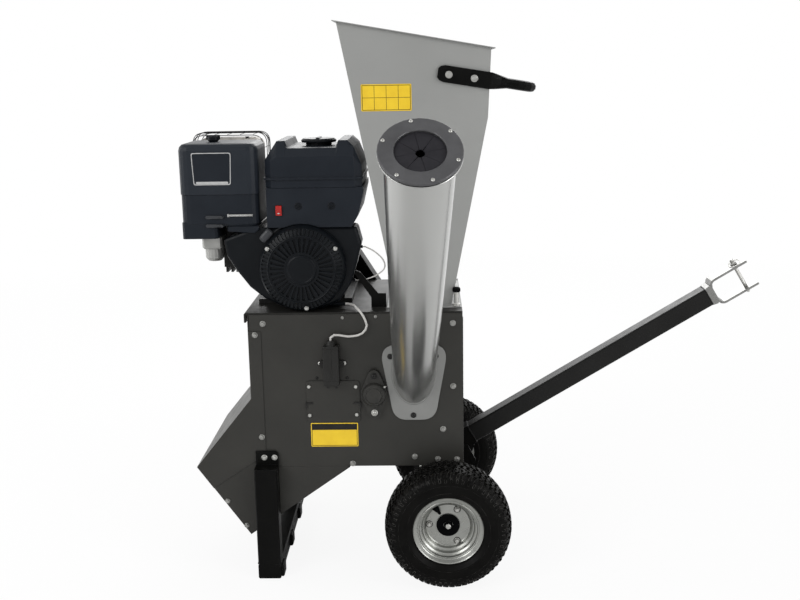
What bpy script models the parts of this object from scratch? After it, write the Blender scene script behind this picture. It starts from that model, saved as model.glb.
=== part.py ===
"""Petrol wood chipper on two wheels, as an assembly of separate pieces.

Metres, +Z up.  The feed tube and the recoil side of the engine look along -Y (the near
side), the belt drive is on the +Y side (the far side) and the tow bar points along +X.
Heights are counted from the ground.  Sizes along X are counted from the wheel axle; the
empty "machine" moves them all so that the world's origin is the middle of the foot rail's
underside.
"""
from math import acos, atan2, ceil, cos, hypot, pi, radians, sin, tan

import bmesh
import bpy
from mathutils import Matrix, Vector

# Clearances
GAP = 0.0003                  # between faces that touch on the real machine
RUNNING_GAP = 0.0004          # round a shaft that turns

# Stand and wheels
STAND_FROM_LEFT = 0.033       # housing's left end to the foot rail's middle
LEG_WIDTH = 0.060             # along X
LEG_DEPTH = 0.048             # along Y
LEG_TOP = 0.306
LEG_TAB_HEIGHT = 0.037        # bolting tab above the tube
LEG_TAB_THICKNESS = 0.005
RAIL_HEIGHT = 0.040
RAIL_LUG_PITCH = 0.185
RAIL_LUG_FIRST = 0.027        # from the rail's near end to the first lug's middle
RAIL_LUG_SIZE = (0.008, 0.042, 0.034)
RAIL_LUGS = 3
WHEEL_DIAMETER = 0.330
TYRE_WIDTH = 0.122
TREAD_HEIGHT = 0.0045
RIM_DIAMETER = 0.181          # over the flanges
RIM_WIDTH = 0.094             # over the flanges
RIM_SHEET = 0.0026
WHEEL_SEGMENTS = 24           # the same for tyre and rim, so that their gap is even
RIM_DISC_SETBACK = 0.041      # from the outer flange to the disc's face
RIM_WELL_RADIUS = 0.0620
HUB_DIAMETER = 0.053
HUB_REACH = 0.008             # outward from the wheel's middle
HUB_TAIL = 0.036              # inward from the wheel's middle
AXLE_DIAMETER = 0.020
AXLE_OVERHANG = 0.0155        # beyond the wheel's middle
AXLE_COLLAR_DIAMETER = 0.034
AXLE_COLLAR_WIDTH = 0.010
WHEEL_CLEARANCE = 0.011       # housing wall to the tyre's inner side
BRACKET_WIDTH = 0.120         # over the cheeks that carry the axle
BRACKET_SHEET = 0.004
BRACKET_LEFT = 0.075          # from the axle to the cheek's left edge at the housing
BRACKET_FOOT = 0.044          # length of the cheek's lower edge, under the axle
BRACKET_BELOW = 0.018         # lower edge below the axle
BRACKET_NOSE = ((0.029, 0.0797), (0.041, 0.0447), (0.018, 0.0))  # out from, and below, the housing
WALL_PLATE = (0.005, 0.128)   # thickness and width
WALL_PLATE_BELOW = 0.032      # under the housing
WALL_PLATE_ABOVE = 0.105

# Rotor housing
HOUSING_RIGHT = 0.042         # right end, which carries the axle bracket and the tow bar
HOUSING_LENGTH = 0.550
HOUSING_BOTTOM = 0.298
HOUSING_HEIGHT = 0.412
HOUSING_WIDTH = 0.428         # over both side walls
SHEET = 0.003
BED_THICKNESS = 0.005
BED_OVERHANG = 0.012
BED_LIP = 0.025               # depth of the turned-down lip
SHAFT_HEIGHT = 0.201          # rotor shaft above the housing's underside
SCROLL_START = -110           # degrees, below the shaft
SCROLL_END = 12
SCROLL_SEGMENTS = 22

# Discharge hood and chute
HOOD_SHEET = 0.002
HOOD_FOLD_GAP = 0.0008        # room for the fold beside the housing's end
HOOD_FLANGE = 0.030
HOOD_FLANGE_TOP = 0.369       # above the housing's underside
HOOD_FLANGE_LOW = 0.043
HOOD_ROOT = 0.188             # where the roof leaves the housing, above its underside
HOOD_REACH = 0.156            # from the housing's left end to the tip
HOOD_SPLIT = 0.31             # share of the mouth's edge that the hood's cheek covers
HOOD_CHEEK_ROOT = 0.016
MOUTH_DROP = 0.193
MOUTH_SETBACK = 0.136
CHUTE_ROOT = 0.251            # from the housing's left end to the chute floor's upper edge

# Access cover and switch box
COVER_LENGTH = 0.139
COVER_HEIGHT = 0.111
COVER_FROM_SHAFT = 0.177      # cover's left edge to the rotor shaft
COVER_ABOVE = 0.124           # above the housing's underside
COVER_OVERLAP = 0.016         # cover's edge beyond the opening
COVER_SHEET = 0.003
COVER_CORNER = 0.008
BOX_FROM_COVER = 0.048        # from the cover's left edge
BOX_ABOVE = 0.228
BOX_LENGTH = 0.041
BOX_HEIGHT = 0.106
BOX_DEPTH = 0.030             # from the wall to the box's front
BOX_EAR = 0.012
BOX_EAR_HEIGHT = 0.020
BOOT_DIAMETER = 0.024
BOOT_HEIGHT = 0.013

# Shaft bearings
BEARING_BOLTS = 0.099
BEARING_BODY = 0.068
BEARING_LENGTH = 0.130
BEARING_FLANGE = 0.013
BEARING_DEPTH = 0.027
SHAFT_DIAMETER = 0.025

# Rotor
ROTOR_TIP_GAP = 0.0085
DISC_THICKNESS = 0.010
DISC_SETBACK = 0.0205         # from the near wall's inner face to the disc
PADDLES = 4
PADDLE_THICKNESS = 0.006
PADDLE_END_GAP = 0.012        # to the far wall
ROTOR_HUB_DIAMETER = 0.056
KNIFE_LENGTH = 0.105
KNIFE_WIDTH = 0.045
KNIFE_THICKNESS = 0.006
KNIFE_INNER = 0.048           # shaft centre to the knife's inner end
KNIFE_SLOT = 0.016
ANVIL_THICKNESS = 0.012
ANVIL_HEIGHT = 0.032
ANVIL_LENGTH = 0.110

# Feed tube
FEED_FROM_SHAFT = 0.1042      # tube's axis to the rotor shaft, along X at the wall
FEED_ABOVE_SHAFT = 0.0572
FEED_ELEVATION = 45.0
FEED_TURN = 2.55              # degrees round the vertical, towards +X
FEED_LENGTH = 0.867           # from the wall's outer face to the ring, along the axis
FEED_DIAMETER = 0.127
FEED_WALL = 0.003
FEED_SEGMENTS = 32
FOOT_PLATE = 0.004
FOOT_TOP_WIDTH = 0.168
FOOT_BOTTOM_WIDTH = 0.106
FOOT_ABOVE = 0.069            # from the tube's axis at the wall to the plate's top
FOOT_BELOW = 0.130
FOOT_CORNER = 0.022
RING_DIAMETER = 0.166
RING_THICKNESS = 0.006
RING_HOLE = 0.102
MOUTH_FLANGE = 0.004
FLAP_THICKNESS = 0.003
FLAP_SLITS = 4
FLAP_SLIT_WIDTH = 0.0012
FLAP_CENTRE_HOLE = 0.012

# Hopper
HOPPER_FROM_RIGHT = 0.027     # base's right edge to the housing's right end
HOPPER_BASE_LEFT = 0.062      # left edge of the base, from the rotor shaft
HOPPER_BASE_LENGTH = 0.141
HOPPER_BASE_WIDTH = 0.296
HOPPER_RIM_WIDTH = 0.410
HOPPER_FLANGE = 0.026
HOPPER_SHEET = 0.002
HOPPER_HIGH = 0.7225          # rim's high left edge above the bed
HOPPER_LOW = 0.655            # rim's low right edge above the bed
HOPPER_KNEE = 0.486           # where the right wall turns upright
HOPPER_FLARE_LEFT = 0.136
HOPPER_FLARE_RIGHT = 0.093
HOPPER_KNEE_LEAN = 0.007
HOPPER_LIP = 0.010
HANDLE_FLAT_LENGTH = 0.142
HANDLE_FLAT_WIDTH = 0.041
HANDLE_FLAT_THICKNESS = 0.006
HANDLE_TUBE = 0.025
HANDLE_REACH = 0.243          # along X, over all
HANDLE_SLOPE = 9.5
HANDLE_FROM_SHAFT = 0.172     # flat's rounded end to the rotor shaft, along X
HANDLE_ABOVE_BED = 0.596      # centre line at the flat's rounded end
HANDLE_BEND = 0.034
HANDLE_SIDES = 10
BASE_BOLT_DIAMETER = 0.012
BASE_BOLT_HEIGHT = 0.034
BASE_BOLT_CAP = 0.020

# Belt drive
BELT_LINE = 0.052             # from the far wall's outer face to the belt's middle
BELT_WIDTH = 0.017
BELT_DEPTH = 0.011
ROTOR_PULLEY_DIAMETER = 0.170
CLUTCH_DIAMETER = 0.124
PULLEY_WIDTH = 0.026
GROOVE_DEPTH = 0.0145
BELT_SINK = 0.0015            # belt's back below the pulley's rim
BELT_FLANK = 19.0             # slope of the belt's sides, in degrees
GUARD_MARGIN = 0.022
GUARD_DEPTH = 0.084
GUARD_SHEET = 0.002
GUARD_ARC_SEGMENTS = 14

# Engine, from the crankshaft and the top of the bed
CRANK_FROM_SHAFT = 0.178      # along X
CRANK_HEIGHT = 0.1125
CRANK_DIAMETER = 0.0254
CRANKCASE_LEFT = 0.112
CRANKCASE_RIGHT = 0.098
CRANKCASE_HEIGHT = 0.216
CRANKCASE_NEAR = -0.098
CRANKCASE_FAR = 0.150
CRANKCASE_CHAMFER = 0.014
ENGINE_FOOT = 0.012
PTO_BOSS_DIAMETER = 0.118
PTO_BOSS = 0.010
FINS = 8
FIN_PITCH = 0.0135
FIN_DEPTH = 0.014
CYLINDER_LOW = 0.082
CYLINDER_HIGH = 0.226
CYLINDER_HALF_WIDTH = 0.074
BLOWER_FRONT = -0.178
RECOIL_RADIUS = 0.1115
RECOIL_DEPTH = 0.044
RECOIL_SEGMENTS = 32
RECOIL_CAP_RADIUS = 0.034
RECOIL_SLOT_OUTER = 0.073
RECOIL_SLOT_INNER = 0.046
RECOIL_SHEET = 0.003
GRIP_SIZE = (0.036, 0.022, 0.022)
GRIP_ANGLE = 137.0             # from +X round the crankshaft, towards +Z
SHROUD_TOP = 0.3175
SHROUD_NEAR = -0.188
SHROUD_FAR = 0.062
TANK_HEIGHT = 0.098           # up to the deck
TANK_LENGTH = 0.245
TANK_NEAR = -0.190
TANK_FAR = 0.078
TANK_FROM_CRANK = 0.089       # tank's left side, left of the crankshaft
TANK_CORNER = 0.017           # cut off the tank's upright edges
TANK_FALL = 0.025             # depth of the slope at the top of the near and far faces
TANK_CREASE = 0.020           # lower edge of that slope, below the deck
TANK_SHOULDER = 0.018         # shoulders above the deck round the cap
TANK_DECK = (0.058, 0.181)    # deck's two ends, from the tank's left side
TANK_STEP_LENGTH = 0.006      # along X, from the deck up to a shoulder
TANK_LEFT_SLOPE = ((0.0, 0.047), (0.031, 0.0))  # in from the side, down from the shoulder
TANK_RIGHT_SLOPE = ((0.035, 0.0), (0.019, 0.016), (0.0, 0.0625))
TANK_SEAM = 0.004
TANK_SEAM_THICKNESS = 0.005
TANK_SEAM_HEIGHT = 0.020
FILLER_DIAMETER = 0.062
FILLER_HEIGHT = 0.006
CAP_DIAMETER = 0.092
CAP_HEIGHT = 0.018
CAP_SKIRT = 0.068             # diameter round the filler
CAP_SKIRT_HEIGHT = 0.008
CAP_RIB = 0.003
SWITCH_SIZE = (0.015, 0.010, 0.025)
STAY_FROM_CRANK = 0.172
STAY_LENGTH = 0.039
STAY_SHEET = 0.005
WIRE_Y = -0.140
LEAD_Y = -0.160
CLEANER_LEFT = 0.308          # left side, left of the crankshaft
CLEANER_LENGTH = 0.202
CLEANER_NEAR = -0.192
CLEANER_FAR = -0.022
CLEANER_BOTTOM = 0.190        # of the intake neck
CLEANER_TRAY = 0.222          # of the part over the engine
CLEANER_NECK_LENGTH = 0.092
CLEANER_SPLIT = 0.303
CLEANER_TOP = 0.431
CLEANER_CORNER = 0.026
COVER_LIP = 0.0015
KNOB_DIAMETER = 0.030
KNOB_HEIGHT = 0.015
LEVER_LENGTH = 0.042
LEVER_WIDTH = 0.009
LEVER_THICKNESS = 0.004
MUFFLER_LEFT = 0.309
MUFFLER_LENGTH = 0.176
MUFFLER_NEAR = 0.062
MUFFLER_FAR = 0.150
MUFFLER_BOTTOM = 0.272
MUFFLER_TOP = 0.430
MUFFLER_GUARD_GAP = 0.015
MUFFLER_GUARD_SHEET = 0.002
EXHAUST_DIAMETER = 0.034

# Tow bar
TOW_TUBE = 0.050
TOW_WALL = 0.003
TOW_ANGLE = 31.0
TOW_START = (0.032, 0.0185)   # centre line's lower end, from the housing's lower right corner
TOW_LENGTH = 0.750
CLEVIS_LENGTH = 0.118
CLEVIS_OPENING = 0.064
CLEVIS_STRAP = 0.006
CLEVIS_WIDTH = 0.050
CLEVIS_CORNER = 0.014
CLEVIS_NECK = 0.014
PIN_DIAMETER = 0.010
PIN_FROM_END = 0.030
PIN_HEAD = 0.018
PIN_TAIL = 0.012
RING_WIRE = 0.0032
RING_RADIUS = 0.016
RING_PLAY = 0.0012            # round the ring's wire in the pin's eye
RING_LEAN = 14.0              # ring's fall below the pin's head, in degrees

# Cables
LEAD_DIAMETER = 0.006
WIRE_DIAMETER = 0.0035

# Values that follow from the sizes above
HALF_WIDTH = HOUSING_WIDTH / 2
HOUSING_LEFT = HOUSING_RIGHT - HOUSING_LENGTH
HOUSING_TOP = HOUSING_BOTTOM + HOUSING_HEIGHT
BED_TOP = HOUSING_TOP + GAP + BED_THICKNESS
SHAFT_X = HOUSING_RIGHT - HOPPER_FROM_RIGHT - HOPPER_BASE_LENGTH - HOPPER_BASE_LEFT
SHAFT_Z = HOUSING_BOTTOM + SHAFT_HEIGHT
WHEEL_Z = WHEEL_DIAMETER / 2
WHEEL_Y = HALF_WIDTH + WHEEL_CLEARANCE + TYRE_WIDTH / 2
SCROLL_RADIUS = SHAFT_HEIGHT - 2 * SHEET - 2 * GAP
ROTOR_RADIUS = SCROLL_RADIUS - ROTOR_TIP_GAP
CRANK_X = SHAFT_X - CRANK_FROM_SHAFT
CRANK_Z = BED_TOP + CRANK_HEIGHT
FEED_X = SHAFT_X + FEED_FROM_SHAFT
FEED_Z = SHAFT_Z + FEED_ABOVE_SHAFT
STAND_X = HOUSING_LEFT + STAND_FROM_LEFT
TOW_FOOT = (HOUSING_RIGHT + TOW_START[0], HOUSING_BOTTOM + TOW_START[1])
COVER_LEFT = SHAFT_X - COVER_FROM_SHAFT
BOX_LEFT = COVER_LEFT + BOX_FROM_COVER
SIDES = {"near": -1, "far": 1}

for old in list(bpy.data.objects):
    bpy.data.objects.remove(old, do_unlink=True)

machine = bpy.data.objects.new("machine", None)
bpy.context.collection.objects.link(machine)
machine.location = (-STAND_X, 0, 0)


def finish(name, colour, roughness, metallic=0.0):
    """Make a material from a colour, a roughness and a metallic value."""
    made = bpy.data.materials.new(name)
    made.use_nodes = True
    shader = made.node_tree.nodes["Principled BSDF"]
    shader.inputs["Base Color"].default_value = (*colour, 1.0)
    shader.inputs["Roughness"].default_value = roughness
    shader.inputs["Metallic"].default_value = metallic
    made.diffuse_color = (*colour, 1.0)
    return made


HOUSING_PAINT = finish("housing_paint", (0.050, 0.048, 0.043), 0.45, 0.3)
SILVER_PAINT = finish("silver_paint", (0.42, 0.42, 0.40), 0.35, 0.4)
HOPPER_PAINT = finish("hopper_paint", (0.45, 0.45, 0.44), 0.5, 0.2)
BLACK_PAINT = finish("black_paint", (0.012, 0.012, 0.012), 0.4)
RING_PAINT = finish("ring_paint", (0.10, 0.10, 0.11), 0.4, 0.3)
BLACK_PLASTIC = finish("black_plastic", (0.010, 0.010, 0.011), 0.35)
RUBBER = finish("rubber", (0.015, 0.015, 0.015), 0.8)
TYRE_RUBBER = finish("tyre_rubber", (0.018, 0.018, 0.018), 0.85)
ZINC = finish("zinc", (0.60, 0.61, 0.62), 0.35, 0.9)
STEEL = finish("steel", (0.40, 0.40, 0.41), 0.35, 0.9)
CAST_METAL = finish("cast_metal", (0.25, 0.25, 0.25), 0.55, 0.7)
RED_PLASTIC = finish("red_plastic", (0.55, 0.02, 0.02), 0.35)
CABLE_SHEATH = finish("cable_sheath", (0.62, 0.62, 0.60), 0.5)


def place(name, bm, material, pivot=(0, 0, 0), smooth=30):
    """Turn a bmesh in machine coordinates into an object whose origin is at pivot."""
    bmesh.ops.translate(bm, verts=bm.verts, vec=-Vector(pivot))
    mesh = bpy.data.meshes.new(name)
    bm.to_mesh(mesh)
    bm.free()
    mesh.shade_smooth()
    mesh.set_sharp_from_angle(angle=radians(smooth))
    mesh.materials.append(material)
    made = bpy.data.objects.new(name, mesh)
    bpy.context.collection.objects.link(made)
    made.parent = machine
    made.location = pivot
    return made


def guide(name, bm):
    """Make an object that only cuts or joins another and isn't a piece itself."""
    made = place(name, bm, STEEL)
    made.hide_render = True
    made.display_type = "WIRE"
    return made


def combine(target, bm, operation, name):
    """Join a closed bmesh to a piece, or cut it away, with an exact Boolean."""
    tool = guide(target.name + "_" + name, bm)
    modifier = target.modifiers.new(name, "BOOLEAN")
    modifier.operation = operation
    modifier.object = tool
    modifier.solver = "EXACT"
    return target


def cut(target, bm, name="cut"):
    """Cut a closed bmesh out of a piece."""
    return combine(target, bm, "DIFFERENCE", name)


def weld(target, bm, name="weld"):
    """Join a closed bmesh to a piece."""
    return combine(target, bm, "UNION", name)


def outline_prism(points, y0, y1):
    """Extrude an outline in the XZ plane from y0 to y1."""
    bm = bmesh.new()
    ring = [bm.verts.new((x, y0, z)) for x, z in points]
    face = bm.faces.new(ring)
    made = bmesh.ops.extrude_face_region(bm, geom=[face])
    moved = [v for v in made["geom"] if isinstance(v, bmesh.types.BMVert)]
    bmesh.ops.translate(bm, verts=moved, vec=(0, y1 - y0, 0))
    bmesh.ops.recalc_face_normals(bm, faces=bm.faces)
    return bm


def block(low, high, edge=0.0, steps=1, axis=None):
    """Make a box between two corners; edge rounds its edges, or only those along an axis."""
    bm = bmesh.new()
    bmesh.ops.create_cube(bm, size=1.0)
    size = Vector(high) - Vector(low)
    centre = (Vector(high) + Vector(low)) / 2
    bmesh.ops.scale(bm, verts=bm.verts, vec=size)
    bmesh.ops.translate(bm, verts=bm.verts, vec=centre)
    if edge:
        edges = [e for e in bm.edges
                 if axis is None or abs(e.verts[0].co[axis] - e.verts[1].co[axis]) > 1e-6]
        bmesh.ops.bevel(bm, geom=edges, offset=edge, segments=steps, affect="EDGES", profile=0.5)
    return bm


def along_y(x, y, z):
    """Frame whose local Z points along +Y."""
    return Matrix.Translation((x, y, z)) @ Matrix.Rotation(radians(-90), 4, "X")


def upright(x, y, z):
    """Frame whose local Z points up."""
    return Matrix.Translation((x, y, z))


def turned(profile, segments, frame):
    """Turn a closed profile of (radius, height) points about the frame's local Z."""
    bm = bmesh.new()
    rings = []
    for radius, height in profile:
        if radius < 1e-7:
            rings.append([bm.verts.new((0, 0, height))])
            continue
        ring = []
        for step in range(segments):
            turn = 2 * pi * step / segments
            ring.append(bm.verts.new((radius * cos(turn), radius * sin(turn), height)))
        rings.append(ring)
    for index, ring in enumerate(rings):
        other = rings[(index + 1) % len(rings)]
        if len(ring) == 1 and len(other) == 1:
            continue
        for step in range(segments):
            following = (step + 1) % segments
            if len(ring) == 1:
                bm.faces.new((ring[0], other[step], other[following]))
            elif len(other) == 1:
                bm.faces.new((ring[step], ring[following], other[0]))
            else:
                bm.faces.new((ring[step], ring[following], other[following], other[step]))
    bmesh.ops.transform(bm, matrix=frame, verts=bm.verts)
    bmesh.ops.recalc_face_normals(bm, faces=bm.faces)
    return bm


def rod(radius, start, end, frame, segments=20):
    """Solid cylinder about a frame's local Z, from height start to height end."""
    return turned([(0, start), (radius, start), (radius, end), (0, end)], segments, frame)


def arc(cx, cz, radius, start, end, steps):
    """Points in the XZ plane on an arc; angles in degrees from +X, counted towards +Z."""
    points = []
    for step in range(steps + 1):
        turn = radians(start + (end - start) * step / steps)
        points.append((cx + radius * cos(turn), cz + radius * sin(turn)))
    return points


def rounded(points, radius, steps=4):
    """Round every corner of an outline with an arc of the given radius."""
    made = []
    count = len(points)
    for index, corner in enumerate(points):
        here = Vector(corner)
        before = (Vector(points[index - 1]) - here).normalized()
        after = (Vector(points[(index + 1) % count]) - here).normalized()
        half = acos(max(-1.0, min(1.0, before.dot(after)))) / 2
        reach = radius / tan(half)
        centre = here + (before + after).normalized() * (radius / sin(half))
        first = here + before * reach - centre
        last = here + after * reach - centre
        start = atan2(first.y, first.x)
        sweep = (atan2(last.y, last.x) - start + pi) % (2 * pi) - pi
        for step in range(steps + 1):
            turn = start + sweep * step / steps
            made.append((centre.x + radius * cos(turn), centre.y + radius * sin(turn)))
    return made


def folded_sheet(name, corners, faces, thickness, inside, material):
    """Fold a sheet from its outer faces; its thickness grows towards the inside point."""
    bm = bmesh.new()
    verts = [bm.verts.new(corner) for corner in corners]
    for face in faces:
        bm.faces.new([verts[index] for index in face])
    bmesh.ops.recalc_face_normals(bm, faces=bm.faces)
    bm.faces.ensure_lookup_table()
    bm.normal_update()
    first = bm.faces[0]
    if first.normal.dot(Vector(inside) - first.calc_center_median()) > 0:
        bmesh.ops.reverse_faces(bm, faces=bm.faces)
    made = place(name, bm, material)
    modifier = made.modifiers.new("thickness", "SOLIDIFY")
    modifier.thickness = thickness
    modifier.offset = -1
    modifier.use_even_offset = True
    return made


def swept(sections, closed_ends=True):
    """Skin a list of equal rings of points into one closed body."""
    bm = bmesh.new()
    closed_loop = sections[0] is sections[-1]
    if closed_loop:
        sections = sections[:-1]
    rings = [[bm.verts.new(point) for point in ring] for ring in sections]
    if closed_loop:
        rings.append(rings[0])
    count = len(rings[0])
    for ring, other in zip(rings, rings[1:]):
        for step in range(count):
            following = (step + 1) % count
            bm.faces.new((ring[step], ring[following], other[following], other[step]))
    if closed_ends:
        bm.faces.new(rings[0])
        bm.faces.new(rings[-1])
    bmesh.ops.recalc_face_normals(bm, faces=bm.faces)
    return bm


def smooth_route(points, spacing):
    """Read points at an even spacing from a smooth curve; both ends keep a straight stub."""
    first, *middle, last = [Vector(point) for point in points]
    route = middle
    padded = [2 * route[0] - route[1], *route, 2 * route[-1] - route[-2]]
    fine = []
    for index in range(1, len(padded) - 2):
        before, here, after, beyond = padded[index - 1:index + 3]
        for step in range(24):
            t = step / 24
            fine.append(0.5 * ((2 * here) + (after - before) * t
                               + (2 * before - 5 * here + 4 * after - beyond) * t ** 2
                               + (3 * here - before - 3 * after + beyond) * t ** 3))
    fine.append(route[-1])
    length = sum((b - a).length for a, b in zip(fine, fine[1:]))
    steps = max(4, ceil(length / spacing))
    made = [fine[0]]
    travelled = 0.0
    for a, b in zip(fine, fine[1:]):
        reach = (b - a).length
        while len(made) < steps and travelled + reach >= len(made) * length / steps:
            made.append(a.lerp(b, (len(made) * length / steps - travelled) / reach))
        travelled += reach
    return [first, *made, fine[-1], last]


def cable(name, points, diameter, material):
    """Lay a cable as a round tube along its route."""
    curve = bpy.data.curves.new(name, "CURVE")
    curve.dimensions = "3D"
    curve.bevel_depth = diameter / 2
    curve.bevel_resolution = 2
    curve.render_resolution_u = 0
    curve.use_fill_caps = True
    route = smooth_route(points, diameter * 2.2)
    spline = curve.splines.new("POLY")
    spline.points.add(len(route) - 1)
    for point, place_at in zip(spline.points, route):
        point.co = (*place_at, 1.0)
    curve.materials.append(material)
    made = bpy.data.objects.new(name, curve)
    bpy.context.collection.objects.link(made)
    made.parent = machine
    return made


def feed_frame():
    """Frame of the feed tube: its origin where the axis meets the wall, local Z outward."""
    turn = Matrix.Rotation(radians(FEED_TURN), 4, "Z") @ Matrix.Rotation(
        radians(90 - FEED_ELEVATION), 4, "X")
    return Matrix.Translation((FEED_X, -HALF_WIDTH, FEED_Z)) @ turn


FEED_FRAME = feed_frame()
FEED_BORE = FEED_DIAMETER / 2 - FEED_WALL


def feed_cutter():
    """Cylinder along the feed tube's bore that reaches through the near wall."""
    return rod(FEED_BORE, -0.5 * FEED_DIAMETER - 4 * SHEET, FEED_LENGTH + RING_DIAMETER,
               FEED_FRAME, FEED_SEGMENTS)


def build_housing():
    """Side walls, the folded wrap, the rotor scroll and the engine bed."""
    corners = [(HOUSING_LEFT, HOUSING_BOTTOM), (HOUSING_RIGHT, HOUSING_BOTTOM),
               (HOUSING_RIGHT, HOUSING_TOP), (HOUSING_LEFT, HOUSING_TOP)]
    near = place("housing_near_side",
                 outline_prism(corners, -HALF_WIDTH, -HALF_WIDTH + SHEET), HOUSING_PAINT)
    far = place("housing_far_side",
                outline_prism(corners, HALF_WIDTH - SHEET, HALF_WIDTH), HOUSING_PAINT)
    for wall in (near, far):
        hole = rod(SHAFT_DIAMETER / 2 + 0.003, -1, 1, along_y(SHAFT_X, 0, SHAFT_Z), 20)
        cut(wall, hole, "shaft_hole")
    cut(near, feed_cutter(), "feed_hole")
    left = COVER_LEFT + COVER_OVERLAP
    low = HOUSING_BOTTOM + COVER_ABOVE + COVER_OVERLAP
    opening = block((left, -HALF_WIDTH - 0.01, low),
                    (left + COVER_LENGTH - 2 * COVER_OVERLAP, -HALF_WIDTH + 0.01,
                     low + COVER_HEIGHT - 2 * COVER_OVERLAP))
    cut(near, opening, "access_opening")

    inner = HALF_WIDTH - SHEET - GAP
    chute_edge = HOUSING_LEFT + CHUTE_ROOT
    folded_sheet("housing_wrap",
                 [(chute_edge, -inner, HOUSING_BOTTOM), (chute_edge, inner, HOUSING_BOTTOM),
                  (HOUSING_RIGHT, inner, HOUSING_BOTTOM),
                  (HOUSING_RIGHT, -inner, HOUSING_BOTTOM),
                  (HOUSING_RIGHT, inner, HOUSING_TOP - GAP),
                  (HOUSING_RIGHT, -inner, HOUSING_TOP - GAP)],
                 [(0, 1, 2, 3), (3, 2, 4, 5)], SHEET, (SHAFT_X, 0, SHAFT_Z), HOUSING_PAINT)

    path = arc(SHAFT_X, SHAFT_Z, SCROLL_RADIUS + SHEET, SCROLL_START, SCROLL_END,
               SCROLL_SEGMENTS)
    throat = SHAFT_X + HOPPER_BASE_LEFT + HOPPER_BASE_LENGTH
    path.append((throat, HOUSING_TOP - GAP))
    corners = []
    faces = []
    for index, (x, z) in enumerate(path):
        corners += [(x, -inner, z), (x, inner, z)]
        if index:
            faces.append((2 * index - 2, 2 * index - 1, 2 * index + 1, 2 * index))
    folded_sheet("rotor_scroll", corners, faces, SHEET, (SHAFT_X, 0, SHAFT_Z), STEEL)

    edge = HOUSING_LEFT - BED_OVERHANG
    bed = folded_sheet("engine_bed",
                       [(edge, -HALF_WIDTH, BED_TOP - BED_LIP),
                        (edge, HALF_WIDTH, BED_TOP - BED_LIP),
                        (edge, HALF_WIDTH, BED_TOP - 0.003), (edge, -HALF_WIDTH, BED_TOP - 0.003),
                        (edge + 0.003, HALF_WIDTH, BED_TOP), (edge + 0.003, -HALF_WIDTH, BED_TOP),
                        (HOUSING_RIGHT, HALF_WIDTH, BED_TOP),
                        (HOUSING_RIGHT, -HALF_WIDTH, BED_TOP)],
                       [(0, 1, 2, 3), (3, 2, 4, 5), (5, 4, 6, 7)], BED_THICKNESS,
                       (0, 0, 0), HOUSING_PAINT)
    half = HOPPER_BASE_WIDTH / 2 - HOPPER_SHEET
    left = SHAFT_X + HOPPER_BASE_LEFT + HOPPER_SHEET
    cut(bed, block((left, -half, HOUSING_TOP - 0.01),
                   (left + HOPPER_BASE_LENGTH - 2 * HOPPER_SHEET, half, BED_TOP + 0.01)),
        "hopper_opening")


def mouth_point(share):
    """Point on the chute's mouth, from its tip (0) to its low corner (1)."""
    return (HOUSING_LEFT - HOOD_REACH + MOUTH_SETBACK * share,
            HOUSING_BOTTOM - MOUTH_DROP * share)


def build_discharge():
    """Folded hood over the discharge and the folded chute below it."""
    side = HALF_WIDTH + GAP + HOOD_SHEET
    face = HOUSING_LEFT - GAP - HOOD_SHEET - HOOD_FOLD_GAP
    top = HOUSING_BOTTOM + HOOD_FLANGE_TOP
    cheek = [(face, HOUSING_BOTTOM + HOOD_ROOT), (face, top), (HOUSING_LEFT + HOOD_FLANGE, top),
             (HOUSING_LEFT + HOOD_FLANGE, HOUSING_BOTTOM + HOOD_FLANGE_LOW),
             (HOUSING_LEFT, HOUSING_BOTTOM + HOOD_CHEEK_ROOT),
             mouth_point(HOOD_SPLIT), mouth_point(0)]
    count = len(cheek)
    corners = [(x, -side, z) for x, z in cheek] + [(x, side, z) for x, z in cheek]
    corners += [(face, -side, HOUSING_TOP - GAP), (face, side, HOUSING_TOP - GAP)]
    faces = [tuple(range(count)), tuple(range(count, 2 * count)),
             (0, 1, count + 1, count), (count - 1, 0, count, 2 * count - 1),
             (1, 2 * count, 2 * count + 1, count + 1)]
    folded_sheet("discharge_hood", corners, faces, HOOD_SHEET,
                 (SHAFT_X, 0, HOUSING_BOTTOM + HOOD_ROOT / 2), HOUSING_PAINT)

    lap = mouth_point(HOOD_SPLIT - 0.06)
    root = HOUSING_BOTTOM - GAP
    cheek = [(HOUSING_LEFT + CHUTE_ROOT, root - 0.003), (HOUSING_LEFT + CHUTE_ROOT - 0.012, root),
             (HOUSING_LEFT - GAP, root),
             (HOUSING_LEFT - GAP, HOUSING_BOTTOM + HOOD_CHEEK_ROOT + 0.014), lap, mouth_point(1)]
    count = len(cheek)
    corners = [(x, -HALF_WIDTH, z) for x, z in cheek] + [(x, HALF_WIDTH, z) for x, z in cheek]
    faces = [tuple(range(count)), tuple(range(count, 2 * count)),
             (0, count - 1, 2 * count - 1, count)]
    folded_sheet("discharge_chute", corners, faces, HOOD_SHEET,
                 (HOUSING_LEFT, 0, HOUSING_BOTTOM), HOUSING_PAINT)


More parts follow.
